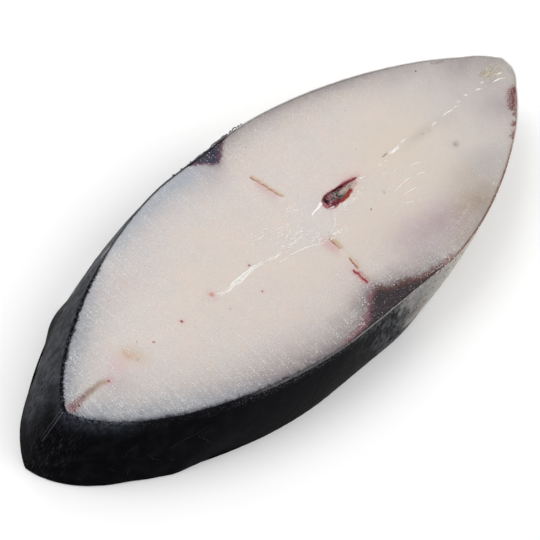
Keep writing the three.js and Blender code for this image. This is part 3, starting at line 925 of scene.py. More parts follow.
def muscle_colour(finish):
    """Slate purple within, redder along the inner edge, with fine white specks of painted glint."""
    coarse = (finish.grain(1.3, 2, 3) - 0.5) * 2.6
    fine = (finish.grain(0.35, 12, 2) - 0.5) * 1.6
    left = finish.layer("across").step(-5, 5)
    depth = finish.layer("muscle") + (coarse + fine) + left.step(0.0, 1.0, 0.8, 0.1)
    belly_side = finish.layer("station").step(100, 105)
    low = left.blend(shade(36, 30, 34), shade(40, 38, 50))
    high = left.blend(shade(70, 60, 64), shade(80, 78, 94))
    core = finish.grain(0.5, 4, 3, roughness=0.7).step(0.38, 0.66).blend(low, high)
    rim_left = belly_side.blend(shade(112, 72, 90), shade(110, 86, 84))
    rim_right = belly_side.blend(shade(138, 98, 106), shade(102, 70, 62))
    rim = left.blend(rim_right, rim_left)
    rim = finish.grain(0.45, 7, 2).step(0.35, 0.65, 0.0, 0.35).blend(rim, shade(60, 44, 50))
    reach = left.blend((2.6, 2.6, 2.6, 1), (1.3, 1.3, 1.3, 1))
    colour = (depth / reach).step(1.15, 0.1).blend(core, rim)
    skin_edge = finish.layer("edge").step(1.0, 0.3)
    colour = (skin_edge * 0.6).blend(colour, shade(40, 38, 44))
    # Painted glints: fine white specks that stand in for sparkle on the wet muscle.
    light = finish.most(finish.specks(0.34, 3, 0.3, 0.24), finish.specks(0.5, 6, 0.22, 0.24))
    light = light * finish.grain(1.4, 9, 2).step(0.4, 0.6)
    colour = (light * left.blend((0.07,) * 4, (0.36,) * 4)).blend(colour, shade(186, 186, 194))
    soft = left.step(0.0, 1.0, 1.4, 0.5)
    return colour, light, depth.step(soft * -1.0, soft)


def cut_face_colour(finish):
    """Colour of the cut flesh from its tint layers."""
    colour = finish.grain(11, 3, 3).step(0.38, 0.62).blend(FLESH_COOL, FLESH_WARM)
    colour = finish.grain(4, 9, 3).step(0.35, 0.7).blend(colour, FLESH)
    colour = finish.grain(0.7, 19, 3).step(0.5, 0.75, 0.0, 0.22).blend(colour, shade(190, 178, 172))
    sparkle = finish.layer("station").step(155, 100, 0.5, 0.9) * finish.layer("edge").step(11, 2, 0.4, 1.0)
    for seed, tint in ((29, PORE_GREY), (37, GLINT_WHITE)):
        dots = finish.grain(0.38, seed, 2, roughness=0.8).step(0.54, 0.66)
        colour = (dots * sparkle).blend(colour, tint)
    soft = finish.grain(2.2, 5, 3)
    fine = finish.grain(0.42, 6, 2) - 0.5
    for name in LAYERS:
        strength = finish.layer(name)
        if name in CRISP:
            strength = (strength + fine * (2 * CRISP[name]) * strength.step(0.0, 0.3)).step(0.0, 1.0)
        else:
            strength = strength * soft.step(0.2, 0.75, 0.85, 1.06)
        colour = strength.blend(colour, TINTS[name])
    return colour


def saw_mark_glints(finish):
    """Fine broken marks of painted glint on the saw texture: across the slice in the back half, along the
    edge on the right flank.
    """
    across = finish.grain(0.24, 2, 2, (1, 3.5, 3.5), roughness=0.6).step(0.6, 0.7)
    across = across * finish.grain(6, 4, 2).step(0.42, 0.66)
    edge_place = finish.vector(finish.layer("edge"), finish.layer("station"))
    along = finish.grain(0.24, 8, 2, (1, 3, 1), place=edge_place, roughness=0.6).step(0.6, 0.7)
    along = along * finish.grain(5, 14, 2).step(0.42, 0.62)
    right = finish.layer("across").step(-12, -22) * finish.layer("station").step(78, 100)
    back = finish.layer("station").step(128, 88)
    return across * back * (1.0 - right) + along * right


def meat_colour(finish):
    """The cut face with its white marks of painted glint, running into the dark muscle with a ragged,
    speckled edge.
    """
    near_edge = finish.layer("edge").step(18, 0.5, 0.2, 1.0)
    # Painted glints: white dots and saw-line marks that stand in for sparkle on the wet cut face.
    dots = finish.most(finish.specks(0.45, 3, 0.24, 0.3), finish.specks(0.8, 13, 0.16, 0.35))
    dots = dots * finish.grain(3.5, 17, 2).step(0.45, 0.62) * near_edge
    bright = finish.most(saw_mark_glints(finish) * near_edge, dots) * 0.7
    colour = bright.blend(cut_face_colour(finish), PAINTED_GLINT_WHITE)
    within, light, share = muscle_colour(finish)
    return share.blend(colour, within), bright + light * (share * 0.4)


def make_meat_finish(name, specular, **soft_light):
    finish = Finish(name)
    colour, bright = meat_colour(finish)
    normal = finish.bump(finish.grain(0.34, 1, 3, roughness=0.6) + bright * 0.8, 0.09, 0.9)
    roughness = finish.grain(3, 12, 2).step(0.3, 0.7, 0.36, 0.52)
    return finish.finish(colour, roughness, normal, Specular_IOR_Level=specular, **soft_light)


def make_vertebra_finish():
    """The cut vertebra is nearly the flesh's colour, a little cooler and scratched; the scratches are painted
    half way to white as glints.
    """
    finish = Finish("cut_bone")
    colour = finish.mix(0.25, cut_face_colour(finish), shade(208, 201, 200))
    # Saw scratches on the bone, painted towards white as glints.
    scratch = finish.grain(0.3, 5, 2, (6, 1, 1), roughness=0.6, warp=0.6).step(0.55, 0.68)
    scratch = scratch * finish.grain(1.8, 2, 2).step(0.44, 0.6)
    colour = (scratch * 0.5).blend(colour, PAINTED_GLINT_WHITE)
    normal = finish.bump(finish.grain(0.5, 1, 3) + scratch, 0.05, 0.8)
    return finish.finish(colour, 0.4, normal, Specular_IOR_Level=0.3, **SOFT_SKIN_LIGHT)


def make_clot_finish():
    """Clotted tissue of the canal: crimson sides, a black pocket, mottled slate, a pale and orange tail."""
    finish = Finish("clotted_tissue")
    lumps = finish.grain(0.55, 4, 3)
    colour = lumps.step(0.42, 0.58).blend(shade(96, 50, 58), shade(156, 108, 116))
    fine = finish.grain(0.4, 6, 2) - 0.5
    for name, tint in CLOT_TINTS.items():
        strength = finish.layer(name)
        torn = strength + fine * strength.step(0.0, 0.3, 0.0, 1.5)
        colour = torn.step(0.15, 0.85).blend(colour, tint)
    net = finish.grain(0.75, 16, 2, (1.0, 1.4, 1.0), roughness=0.6, warp=0.8).step(0.46, 0.53)
    colour = (net * finish.layer("net") * 0.92).blend(colour, shade(38, 24, 24))
    specks = finish.specks(0.8, 9, 0.34, 0.4) * lumps.step(0.4, 0.6)
    colour = (specks * 0.6).blend(colour, shade(196, 178, 178))
    normal = finish.bump(finish.grain(0.4, 2, 3), 0.12, 1.0)
    return finish.finish(colour, 0.3, normal, Specular_IOR_Level=0.3)


def dark_skin_colour(finish, station, height, left, wide, fine):
    """Black over the back; on the left flank a dark grey painted sheen, light from the upper left reflected,
    with black along its lower edge and in patches.
    """
    black = finish.grain(4, 8, 3).step(0.4, 0.7).blend(shade(6, 6, 9), shade(15, 15, 18))
    black = station.step(30, 60, 0.0, 0.5).blend(black, shade(17, 17, 20))
    # Painted sheen: the left flank's dark grey stands in for light reflected from the upper left.
    painted_sheen = finish.grain(2.2, 3, 4, (1, 1, 1.5), roughness=0.7).step(0.4, 0.62)
    painted_sheen = painted_sheen.blend(shade(38, 40, 44), shade(66, 68, 72))
    share = left * (station + wide * 8.0).step(2, 10) * (height + wide * 0.5).step(0.08, 0.34)
    share = share * (station + fine * 14.0).step(66, 44)
    patch = (finish.grain(2.6, 41, 3, warp=0.8) - height * 0.12).step(0.42, 0.52)
    patch = patch * (left * station.step(20, 36))
    return (patch * 0.85).blend(share.blend(black, painted_sheen), shade(16, 16, 19))


def belly_skin_colour(finish, station, front, colour):
    """Mottled grey where the dark skin ends, then pale with dark freckles towards the belly."""
    mottle = finish.grain(1.5, 12, 4, (1, 1, 2), roughness=0.65).step(0.44, 0.62)
    colour = front.step(80, 98).blend(colour, mottle.blend(shade(24, 24, 27), shade(76, 77, 80)))
    pale = station.step(114, 142).blend(shade(138, 137, 136), shade(204, 199, 190))
    pale = finish.grain(3, 15, 3).step(0.4, 0.7, 0.0, 0.7).blend(pale, shade(158, 153, 147))
    colour = front.step(100, 112).blend(colour, pale)
    freckle = finish.most(finish.specks(1.7, 5, 0.34, 0.4), finish.specks(0.9, 25, 0.3, 0.3))
    freckle = finish.most(freckle, finish.grain(1.2, 27, 3, roughness=0.7).step(0.58, 0.66))
    freckle = freckle * (front.step(104, 114) * station.step(172, 130))
    return (freckle * 0.75).blend(colour, shade(66, 63, 62))


def skin_rim_colour(finish, station, left, fine):
    """The cut rim of the skin: dark and torn over the back, brown on the right flank, pale at the belly."""
    left_rim = finish.grain(0.9, 23, 3).step(0.5, 0.62).blend(shade(16, 16, 19), shade(66, 68, 72))
    left_rim = station.step(40, 52).blend(left_rim, shade(82, 83, 88))
    left_rim = station.step(106, 114).blend(left_rim, shade(204, 200, 197))
    hazy = station.step(17, 8) * finish.grain(0.8, 21, 3, roughness=0.7).step(0.42, 0.6)
    right_rim = hazy.blend(shade(20, 20, 25), shade(80, 84, 94))
    right_rim = (station + fine * 20.0).step(42, 58).blend(right_rim, shade(98, 94, 98))
    right_rim = station.step(78, 90).blend(right_rim, shade(128, 124, 122))
    right_rim = station.step(116, 128).blend(right_rim, shade(138, 104, 92))
    rim = station.step(172, 188).blend(left.blend(right_rim, left_rim), shade(214, 210, 206))
    torn = finish.grain(0.5, 3, 2).step(0.52, 0.66)
    torn_colour = station.step(84, 110).blend(shade(22, 22, 26), shade(206, 202, 198))
    return (torn * 0.75).blend(rim, torn_colour)


def make_skin_finish():
    """Black over the back, a dark grey painted sheen on the left flank, mottled grey then pale towards the
    belly.
    """
    finish = Finish("black_cod_skin")
    station, height = finish.layer("station"), finish.layer("height")
    left = finish.layer("flank").step(-0.2, 0.2)
    wide = finish.grain(6, 2, 3) - 0.5
    fine = finish.grain(1.3, 5, 3, roughness=0.65) - 0.5
    front = (station - 3.0) + (height - 1.0) * 15.0 + (wide * 26.0 + fine * 20.0)
    colour = dark_skin_colour(finish, station, height, left, wide, fine)
    colour = belly_skin_colour(finish, station, front, colour)
    # Fine lines down the back ridge, and frosted flecks just under the cut
    wall = finish.vector(finish.layer("walk"), height * THICKNESS)
    lines = finish.grain(0.32, 7, 3, (1, 7, 1), place=wall, roughness=0.7, warp=0.4)
    lines = lines.step(0.5, 0.68) * station.step(7, 0.5)
    top_haze = height.step(0.76, 1.0) * station.step(20, 6) * fine.step(-0.2, 0.25, 0.2, 0.8)
    colour = top_haze.blend(colour, shade(58, 62, 70))
    colour = (lines * left.blend((0.32,) * 4, (0.3,) * 4)).blend(colour, shade(74, 76, 82))
    flecks = finish.grain(0.55, 43, 3, (1, 1, 0.7)).step(0.54, 0.66) * (height + fine * 0.16).step(0.86, 0.97)
    fleck_colour = station.step(85, 115).blend(shade(104, 104, 110), shade(196, 190, 186))
    colour = (flecks * station.step(28, 60, 0.15, 0.8)).blend(colour, fleck_colour)
    colour = finish.layer("rim").blend(colour, skin_rim_colour(finish, station, left, fine))
    relief = finish.grain(0.9, 2, 3) + finish.grain(0.3, 4, 2) * 0.4 + lines * 0.6
    return finish.finish(colour, 0.42, finish.bump(relief, 0.12, 0.8), Specular_IOR_Level=0.01)


def make_plain_finish(name, dark, light, grain_size, roughness, specular):
    """A two-toned finish for small pieces."""
    finish = Finish(name)
    colour = finish.grain(grain_size, 3, 3).step(0.35, 0.65).blend(dark, light)
    normal = finish.bump(finish.grain(grain_size * 0.4, 1, 2), 0.05, 0.6)
    return finish.finish(colour, roughness, normal, Specular_IOR_Level=specular)


# ---------------------------------------------------------------------------------------------
# Geometry Nodes: strands that follow lines, and white beads of painted glint scattered over the cut faces
# ---------------------------------------------------------------------------------------------
class Recipe:
    """A Geometry Nodes tree with named inputs."""

    def __init__(self, name, **inputs):
        self.tree = bpy.data.node_groups.new(name, "GeometryNodeTree")
        self.tree.interface.new_socket("Geometry", in_out="INPUT", socket_type="NodeSocketGeometry")
        self.identifiers = {}
        for label, kind in inputs.items():
            socket = self.tree.interface.new_socket(label, in_out="INPUT", socket_type=kind)
            self.identifiers[label] = socket.identifier
        self.tree.interface.new_socket("Geometry", in_out="OUTPUT", socket_type="NodeSocketGeometry")
        self.inputs = self.tree.nodes.new("NodeGroupInput").outputs

    def node(self, kind, values=None, **settings):
        node = self.tree.nodes.new(kind)
        for key, value in settings.items():
            setattr(node, key, value)
        for socket, value in (values or {}).items():
            if isinstance(value, bpy.types.NodeSocket):
                self.tree.links.new(value, node.inputs[socket])
            else:
                node.inputs[socket].default_value = value
        return node.outputs

    def attribute(self, name):
        return self.node("GeometryNodeInputNamedAttribute", {"Name": name}, data_type="FLOAT")[0]

    def end(self, geometry):
        """Realize Instances, Set Material, and out."""
        solid = self.node("GeometryNodeRealizeInstances", {0: geometry})[0]
        smooth = self.node("GeometryNodeSetShadeSmooth", {0: solid, 2: True})[0]
        painted = self.node("GeometryNodeSetMaterial", {0: smooth, "Material": self.inputs["Finish"]})[0]
        self.node("NodeGroupOutput", {0: painted})

    def grow(self, name, source_mesh, **values):
        """Runs the tree on a mesh and returns the result as a plain piece."""
        source = bpy.data.objects.new(name + "_source", source_mesh)
        bpy.context.scene.collection.objects.link(source)
        modifier = source.modifiers.new("grow", "NODES")
        modifier.node_group = self.tree
        for label, value in values.items():
            modifier[self.identifiers[label]] = value
        depsgraph = bpy.context.evaluated_depsgraph_get()
        mesh = bpy.data.meshes.new_from_object(source.evaluated_get(depsgraph))
        mesh.name = name
        bpy.data.objects.remove(source)
        piece = bpy.data.objects.new(name, mesh)
        bpy.context.scene.collection.objects.link(piece)
        return piece


def strand_recipe():
    """Threads along lines, each as thick as the thickness attribute says."""
    recipe = Recipe("threads_along_lines", Sides="NodeSocketInt", Flatness="NodeSocketFloat",
                    Finish="NodeSocketMaterial")
    curve = recipe.node("GeometryNodeMeshToCurve", {0: recipe.inputs["Geometry"]})[0]
    thickness = recipe.attribute("thickness")
    curve = recipe.node("GeometryNodeSetCurveRadius", {0: curve, 2: thickness})[0]
    circle = recipe.node("GeometryNodeCurvePrimitiveCircle",
                         {"Resolution": recipe.inputs["Sides"], "Radius": 1.0})[0]
    squash = recipe.node("ShaderNodeCombineXYZ", {0: 1.0, 1: recipe.inputs["Flatness"], 2: 1.0})[0]
    flat = recipe.node("GeometryNodeTransform", {0: circle, "Scale": squash})[0]
    tube = recipe.node("GeometryNodeCurveToMesh",
                       {"Curve": curve, "Profile Curve": flat, "Scale": thickness, "Fill Caps": True})[0]
    recipe.end(tube)
    return recipe


def bead_recipe():
    """An eight-sided bead on every point, as large, long and turned as the point's attributes say."""
    recipe = Recipe("beads_on_points", Flatness="NodeSocketFloat", Finish="NodeSocketMaterial")
    size, stretch, turn = (recipe.attribute(name) for name in ("size", "stretch", "turn"))
    bead = recipe.node("GeometryNodeMeshUVSphere", {"Segments": 4, "Rings": 2, "Radius": 1.0})[0]
    length = recipe.node("ShaderNodeMath", {0: size, 1: stretch}, operation="MULTIPLY")[0]
    height = recipe.node("ShaderNodeMath", {0: size, 1: recipe.inputs["Flatness"]}, operation="MULTIPLY")[0]
    scale = recipe.node("ShaderNodeCombineXYZ", {0: size, 1: length, 2: height})[0]
    euler = recipe.node("ShaderNodeCombineXYZ", {0: 0.0, 1: 0.0, 2: turn})[0]
    turned = recipe.node("FunctionNodeEulerToRotation", {0: euler})[0]
    beads = recipe.node("GeometryNodeInstanceOnPoints", {
        "Points": recipe.inputs["Geometry"], "Instance": bead, "Rotation": turned, "Scale": scale})[0]
    recipe.end(beads)
    return recipe


def wander(line, spacing, sway, seed):
    """A given line as close points that sway a little to each side."""
    line = np.asarray(line, float)
    walked = np.concatenate([[0], np.cumsum(np.hypot(*np.diff(line, axis=0).T))])
    at = np.linspace(0, walked[-1], max(3, int(walked[-1] / spacing)))
    points = np.stack([np.interp(at, walked, line[:, k]) for k in (0, 1)], 1)
    noise_place = np.stack([at, np.full(len(at), 3.7 * seed)], 1)
    swing = np.stack([value_noise(noise_place, 1.1, seed), value_noise(noise_place, 0.9, seed + 50)], 1)
    return points + sway * swing


class Threads:
    """Gathers lines with a thickness into one mesh of edges."""

    def __init__(self):
        self.vertices, self.edges, self.thickness = [], [], []

    def add(self, places, thickness):
        first = len(self.vertices)
        self.vertices.extend(places.tolist())
        self.edges.extend((first + i, first + i + 1) for i in range(len(places) - 1))
        self.thickness.extend(np.broadcast_to(thickness, len(places)).tolist())

    def on_face(self, line, thickness, sway, seed, lift, spacing=0.3):
        """One thread lying on the upper face; it thins out towards both ends."""
        points = wander(line, spacing, sway, seed)
        ends = np.linspace(0, 1, len(points))
        fullness = np.clip(np.minimum(ends, 1 - ends) / 0.25, 0.25, 1)
        uneven = 1 + 0.45 * value_noise(np.stack([ends * 40, 0 * ends + seed], 1), 1.5, seed + 9)
        radius = thickness / 2 * fullness * uneven
        z = face_height(points, ring_distance(points, FLESH_RING)) + lift
        z = np.minimum(z, THICKNESS - TOP_CLEARANCE - 0.75 * radius)
        self.add(to_part(points, z), radius * MM)

    def grow(self, recipe, name, finish, sides, flatness):
        """The finished piece, with every line as a thread."""
        mesh = bpy.data.meshes.new(name + "_lines")
        mesh.from_pydata(self.vertices, self.edges, [])
        attribute = mesh.attributes.new("thickness", "FLOAT", "POINT")
        attribute.data.foreach_set("value", np.asarray(self.thickness, np.float32))
        return recipe.grow(name, mesh, Sides=sides, Flatness=flatness, Finish=finish)


# ---------------------------------------------------------------------------------------------
# Pieces
# ---------------------------------------------------------------------------------------------
# Lumps of the skin wall: flank side, station, height (0 to 1), reach along, reach in height, push outwards
WALL_LUMPS = [
    (1, 42.5, 0.05, 5, 0.25, 1.2), (1, 9, 0.1, 6, 0.35, 0.6), (1, 26, 0.0, 7, 0.3, -0.6),
    (1, 53, 0.15, 6, 0.3, -1.0), (1, 60, 0.36, 8, 0.35, -1.9), (1, 80, 0.75, 20, 0.4, -1.1),
    (1, 62, 0.85, 12, 0.35, -0.8), (-1, 12, 0.0, 10, 0.3, 1.1), (-1, 33, 0.0, 5, 0.3, 1.0),
    (-1, 26, 0.0, 4, 0.3, 0.5), (-1, 121, 0.15, 7, 0.35, -1.5), (-1, 48, 0.0, 7, 0.3, -0.4),
    (-1, 0, 0.0, 3, 0.3, -0.4),
]
# Creases of the skin: flank side and a line of (station, height)
WALL_CREASES = [
    (-1, [(17.2, 0.67), (16.4, 0.6), (15.4, 0.53), (15.7, 0.47)]),
    (-1, [(12.6, 0.31), (14.2, 0.27), (15.4, 0.23)]), (-1, [(18.4, 0.25), (19.1, 0.13)]),
    (-1, [(27.4, 0.45), (28.2, 0.56), (30.5, 0.62), (33.5, 0.66), (36.5, 0.74)]),
    (-1, [(34.0, 0.62), (36.5, 0.53), (38.6, 0.47), (40.0, 0.4)]),
    (-1, [(26.0, 0.33), (23.5, 0.37), (21.4, 0.48)]), (-1, [(33.6, 0.95), (34.6, 0.9), (36.8, 0.88)]),
    (-1, [(7.6, 0.14), (8.4, 0.11)]), (-1, [(29, 0.3), (31, 0.26)]),
    (1, [(26.5, 0.93), (28.5, 0.85), (31.0, 0.81)]), (1, [(34.0, 0.88), (37.5, 0.72), (38.6, 0.62)]),
    (1, [(44.0, 0.86), (47.5, 0.78)]),
]


def skin_wall(depth, height):
    """One row of the skin wall: how far in from the outside, at a height from 0 to 1."""
    station, side = RING_STATION, RING_SIDE
    walked = np.arange(len(station)) * RIM_STEP
    wall = np.stack([walked, np.full(len(walked), height * THICKNESS)], 1)
    ring_place = np.stack([walked, 0 * walked], 1)
    inset = skin_thickness(station, side) * depth
    if depth > 0.6:
        inset = inset * (1 + 0.25 * layered_noise(ring_place, 1.2, 62))
    if depth == 0:
        wrinkle = 0.06 * (1 + layered_noise(wall * [1, 0.6], 5, 63))
        wrinkle = wrinkle + 0.025 * (1 + value_noise(wall, 1.0, 64))
        for lump_side, along, up, reach, reach_up, push in WALL_LUMPS:
            bump = np.exp(-(((station - along) / reach) ** 2) - ((height - up) / reach_up) ** 2)
            wrinkle = wrinkle - push * bump * (side == lump_side)
        inset = inset + wrinkle * smooth_step(1 - height, 0, 0.12)
    return slice_ring(height, inset + 1e-4)


def make_skin(finish):
    """The skin: a thin wall round the slice, wrinkled outside, with a ragged cut rim."""
    walked = np.arange(len(RING_STATION)) * RIM_STEP
    ragged = 0.5 + 0.5 * layered_noise(np.stack([walked, 0 * walked], 1), 1.4, 61)
    section = [(0.0, h) for h in np.linspace(0, 0.985, 50)]
    section += [(0.12, 1.0), (0.5, 1.0), (0.85, 1.0)]
    section += [(1.0, h) for h in np.linspace(0.985, 0.015, 4)]
    section += [(0.7, 0.0), (0.25, 0.0)]
    vertices, layers = [], {key: [] for key in ("station", "height", "flank", "rim", "walk")}
    for depth, height in section:
        top = THICKNESS - 0.02 - 0.3 * ragged * (depth > 0.05)
        vertices.append(to_part(skin_wall(depth, height), np.clip(height * top, 0.0, THICKNESS)))
        is_rim = depth > 0.05 and (height > 0.5 or depth < 1)
        row = dict(station=RING_STATION, flank=RING_SIDE, walk=walked)
        row.update(height=float(height), rim=float(is_rim))
        for key, values in row.items():
            layers[key].append(np.broadcast_to(values, len(walked)))
    faces = grid_faces(len(section), len(walked), wrap_rows=True)
    merged = {key: np.concatenate(values) for key, values in layers.items()}
    skin = mesh_object("skin", np.concatenate(vertices), faces, finish, merged)
    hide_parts("skin")
    return skin


# Tints of the canal's tissue, by layer: line, half width, softness, strength
CANAL_STROKES = dict(
    slate=[([(118.2, 1.2), (119.4, 0.6), (120.2, 0.0)], 0.8, 0.7, 0.9)],
    pale=[([(120.6, 0.0), (123.0, 0.2), (127.0, 0.5)], 0.5, 0.4, 1.0)],
    ember=[([(118.9, -1.9), (121.0, -1.6), (124.4, -0.8)], 0.4, 0.4, 1.0),
        ([(124.2, -0.5), (127.4, 0.1)], 0.15, 0.45, 0.4)],
    rose=[([(113.5, 1.4), (113.5, 0.2), (114.0, -0.3)], 0.45, 0.5, 0.9),
        ([(116.8, 2.0), (118.2, 1.5)], 0.3, 0.5, 0.6), ([(126.5, 0.9), (130.0, 1.1)], 0.3, 0.5, 0.7)],
    meat=[([(112.6, -1.5), (114.0, -1.5), (115.2, -1.9)], 0.35, 0.4, 1.0),
        ([(128.8, 1.0), (130.4, 1.1)], 0.5, 0.8, 0.8)],
    blood=[([(116.0, -0.8), (117.4, -1.4), (118.8, -0.9)], 0.35, 0.4, 1.0),
        ([(114.3, 2.4), (117.0, 2.7), (120.5, 2.6), (124.0, 1.9), (128.4, 1.2)], 0.25, 0.3, 1.0),
        ([(113.6, -0.8), (115.2, -1.0)], 0.1, 0.3, 0.7)],
    black=[([(114.8, 1.7), (115.0, 0.9), (114.8, 0.2)], 0.12, 0.3, 1.0),
        ([(115.6, 1.8), (115.5, 0.6)], 0.12, 0.3, 0.9),
        ([(119.6, 2.2), (121.8, 2.0), (123.4, 1.6)], 0.0, 0.4, 0.7)],
    net=[([(116.0, 1.6), (118.6, 1.2), (120.4, 0.4)], 1.0, 0.7, 1.0),
        ([(115.2, 1.6), (115.2, -0.4)], 0.5, 0.4, 1.0)],
)


def make_canal_tissue(finish):
    """Lumpy clotted tissue that fills the canal, a little below both cut faces."""
    outline = canal_outline(CANAL_MARGIN - 0.02)
    points = points_along([(CANAL["x"], 0.2), (CANAL["tail_x"], 1.0)], 3.4, 0.2)
    points = np.concatenate([outline, points[inside(points, canal_outline(CANAL_MARGIN - 0.12))]])
    made = delaunay_2d_cdt([Vector(p) for p in points.tolist()], CutPlan.loop(0, len(outline)), [], 1, 1e-7)
    plan = np.array([tuple(p) for p in made[0]])
    triangles = [list(t) for t in made[2]]
    loop = [made[3].index([i]) for i in range(len(outline))]
    wall = ring_distance(plan, outline)
    layers = {name: np.zeros(len(plan)) for name in CANAL_STROKES}
    paint_strokes(layers, plan, CANAL_STROKES)
    vertices, faces = [], []
    for upper in (True, False):
        lumps = 0.2 * layered_noise(plan, 0.9, 71 if upper else 72) * smooth_step(wall, 0, 0.5)
        recess = 0.35 + 0.9 * layers["black"] + 0.2 * layers["net"] - 0.1 * layers["meat"] - lumps
        z = THICKNESS - recess if upper else recess
        vertices.append(to_part(lean(plan, float(upper)), z))
        faces += [t if upper else [len(plan) + v for v in reversed(t)] for t in triangles]
    for a, b in zip(loop, loop[1:] + loop[:1]):
        faces.append([a, a + len(plan), b + len(plan), b])
    both = {name: np.tile(values, 2) for name, values in layers.items()}
    tissue = mesh_object("canal_tissue", np.concatenate(vertices), faces, finish, both)
    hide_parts("canal_tissue")
    return tissue


def make_canal_flap(finish):
    """The pale membrane that lies in the belly end of the canal."""
    columns, rows = 26, 8
    along = np.linspace(0, 1, columns)
    upper_line = np.stack([120.6 + 7.2 * along, 0.95 - 0.15 * along], 1)
    lower_line = np.stack([120.4 + 7.2 * along, -0.55 + 1.1 * along**1.3], 1)
    vertices = []
    for side in (0, 1):
        for row in range(rows):
            share = row / (rows - 1)
            points = lower_line * (1 - share) + upper_line * share
            points += 0.1 * np.stack([value_noise(points, 0.8, 81), value_noise(points, 0.8, 82)], 1)
            arch = 0.22 * math.sin(share * math.pi) * np.sin(np.clip(along, 0.05, 0.95) * math.pi)
            z = THICKNESS - 0.36 + arch - 0.12 * side + 0.05 * value_noise(points, 0.9, 83)
            vertices.append(to_part(points, z))
    layer = rows * columns
    top = grid_faces(rows, columns, wrap_columns=False)
    faces = top + [tuple(layer + v for v in reversed(f)) for f in top]
    rim = [*range(columns), *[r * columns + columns - 1 for r in range(1, rows)],
           *range(layer - 2, layer - columns - 1, -1), *[r * columns for r in range(rows - 2, 0, -1)]]
    faces += [(b, a, a + layer, b + layer) for a, b in zip(rim, rim[1:] + rim[:1])]
    flap = mesh_object("canal_membrane", np.concatenate(vertices), faces, finish, sharp=math.radians(70))
    return flap


def make_bone_sliver(finish):
    """A splinter of white bone beside the canal: a flattened needle."""
    start, end = np.array([107.5, 0.3]), np.array([113.2, 1.5])
    stations, around = 16, 10
    across = np.array([-(end - start)[1], (end - start)[0]]) / np.hypot(*(end - start))
    vertices = []
    for k in range(stations):
        along = k / (stations - 1)
        half = 0.2 + 0.3 * along**0.8
        centre = start + (end - start) * along + across * 0.1 * math.sin(along * 7)
        for j in range(around):
            angle = 2 * math.pi * j / around
            point = centre + across * half * math.cos(angle)
            z = THICKNESS - 0.2 + 0.05 * along + 0.13 * math.sin(angle)
            vertices.append(to_part(point[None, :], z)[0])
    faces = grid_faces(stations, around)
    faces += [tuple(range(around - 1, -1, -1)), tuple(range((stations - 1) * around, stations * around))]
    sliver = mesh_object("bone_sliver", vertices, [f[::-1] for f in faces], finish)
    return sliver


# Strands of the septum: line, sideways offset, thickness
SEPTUM_STRANDS = [
    (SEPTUM_UPPER, 0.0, 0.26), (SEPTUM_UPPER, 0.15, 0.2), (SEPTUM_UPPER, -0.14, 0.16),
    (SEPTUM_LOWER, 0.0, 0.24), (SEPTUM_LOWER, -0.16, 0.14), (SEPTUM_LOWER, 0.2, 0.12),
    (SEPTUM_UPPER, 0.3, 0.12),
    (SEPTUM_NECK, 0.0, 0.24), (SEPTUM_NECK, 0.35, 0.16), (SEPTUM_NECK, -0.3, 0.12),
    (SEPTUM_TAIL, 0.0, 0.18), (SEPTUM_TAIL, 0.4, 0.16), (SEPTUM_SIDE, 0.0, 0.24),
    (SEPTUM_SIDE[5:], 0.08, 0.22),
    (VERTEBRA_ARC, 0.0, 0.17), (VERTEBRA_ARC, 0.2, 0.12),
]
BRIGHT_ARCS = (0, 3, 4, 5, 7)  # the flake arcs that shine most
# Scratched patches round the vertebra: centre x, centre y, reach x, reach y, number of scratches
SCRATCHED = [
    (96, -1.6, 6, 2.6, 44), (104, 4.5, 3.5, 2.0, 30), (95.5, 2.6, 3.5, 1.8, 26), (103, -5.8, 2.6, 1.6, 26),
    (121, -3.3, 6.5, 0.9, 60), (109, -8.5, 4, 1.1, 34), (88, 4.8, 5, 2.4, 26), (100.5, -2, 3, 2, 20),
]


def make_septum_threads(recipe, finish):
    """White connective tissue along the middle line, the vertebra's edge and the flake lines."""
    threads = Threads()
    for seed, (line, offset, thickness) in enumerate(SEPTUM_STRANDS):
        threads.on_face(np.array(line) + [0, offset], thickness, 0.18, seed + 1, 0.05)
    for k in range(70):
        x = random.uniform(65, 84)
        upper = np.interp(x, *np.array(SEPTUM_UPPER).T)
        lower = np.interp(x, *np.array(SEPTUM_LOWER).T)
        step = np.array([random.uniform(-0.5, 0.5), (upper - lower) / 2 + random.uniform(0.0, 0.4)])
        middle = np.array([x, (upper + lower) / 2])
        threads.on_face([middle - step, middle + step], 0.11, 0.1, 20 + k, 0.02)
    for k, line in enumerate(BELLY_SEPTUM):
        thick = 0.6 if k == 0 else 0.26
        threads.on_face(line, thick, 0.08, 60 + k, 0.02)
        threads.on_face(np.array(line) + [0.3, -0.2], 0.13, 0.16, 80 + k, 0.02)
        threads.on_face(np.array(line) + [-0.3, 0.2], 0.12, 0.16, 100 + k, 0.02)
    for k, line in enumerate(FLAKE_ARCS):
        threads.on_face(line, 0.26 if k in BRIGHT_ARCS else 0.15, 0.04, 120 + k, 0.03)
    for cx, cy, reach_x, reach_y, count in SCRATCHED:
        for k in range(count):
            centre = np.array([random.normal(cx, reach_x / 1.8), random.normal(cy, reach_y / 1.8)])
            turn = random.uniform(-0.7, 0.5)
            step = np.array([math.cos(turn), math.sin(turn)]) * random.uniform(0.25, 0.9)
            threads.on_face([centre - step, centre, centre + step], random.uniform(0.09, 0.19), 0.12,
                            int(cx * 7) + k, 0.02)
    septum = threads.grow(recipe, "septum_threads", finish, sides=6, flatness=0.6)
    return septum


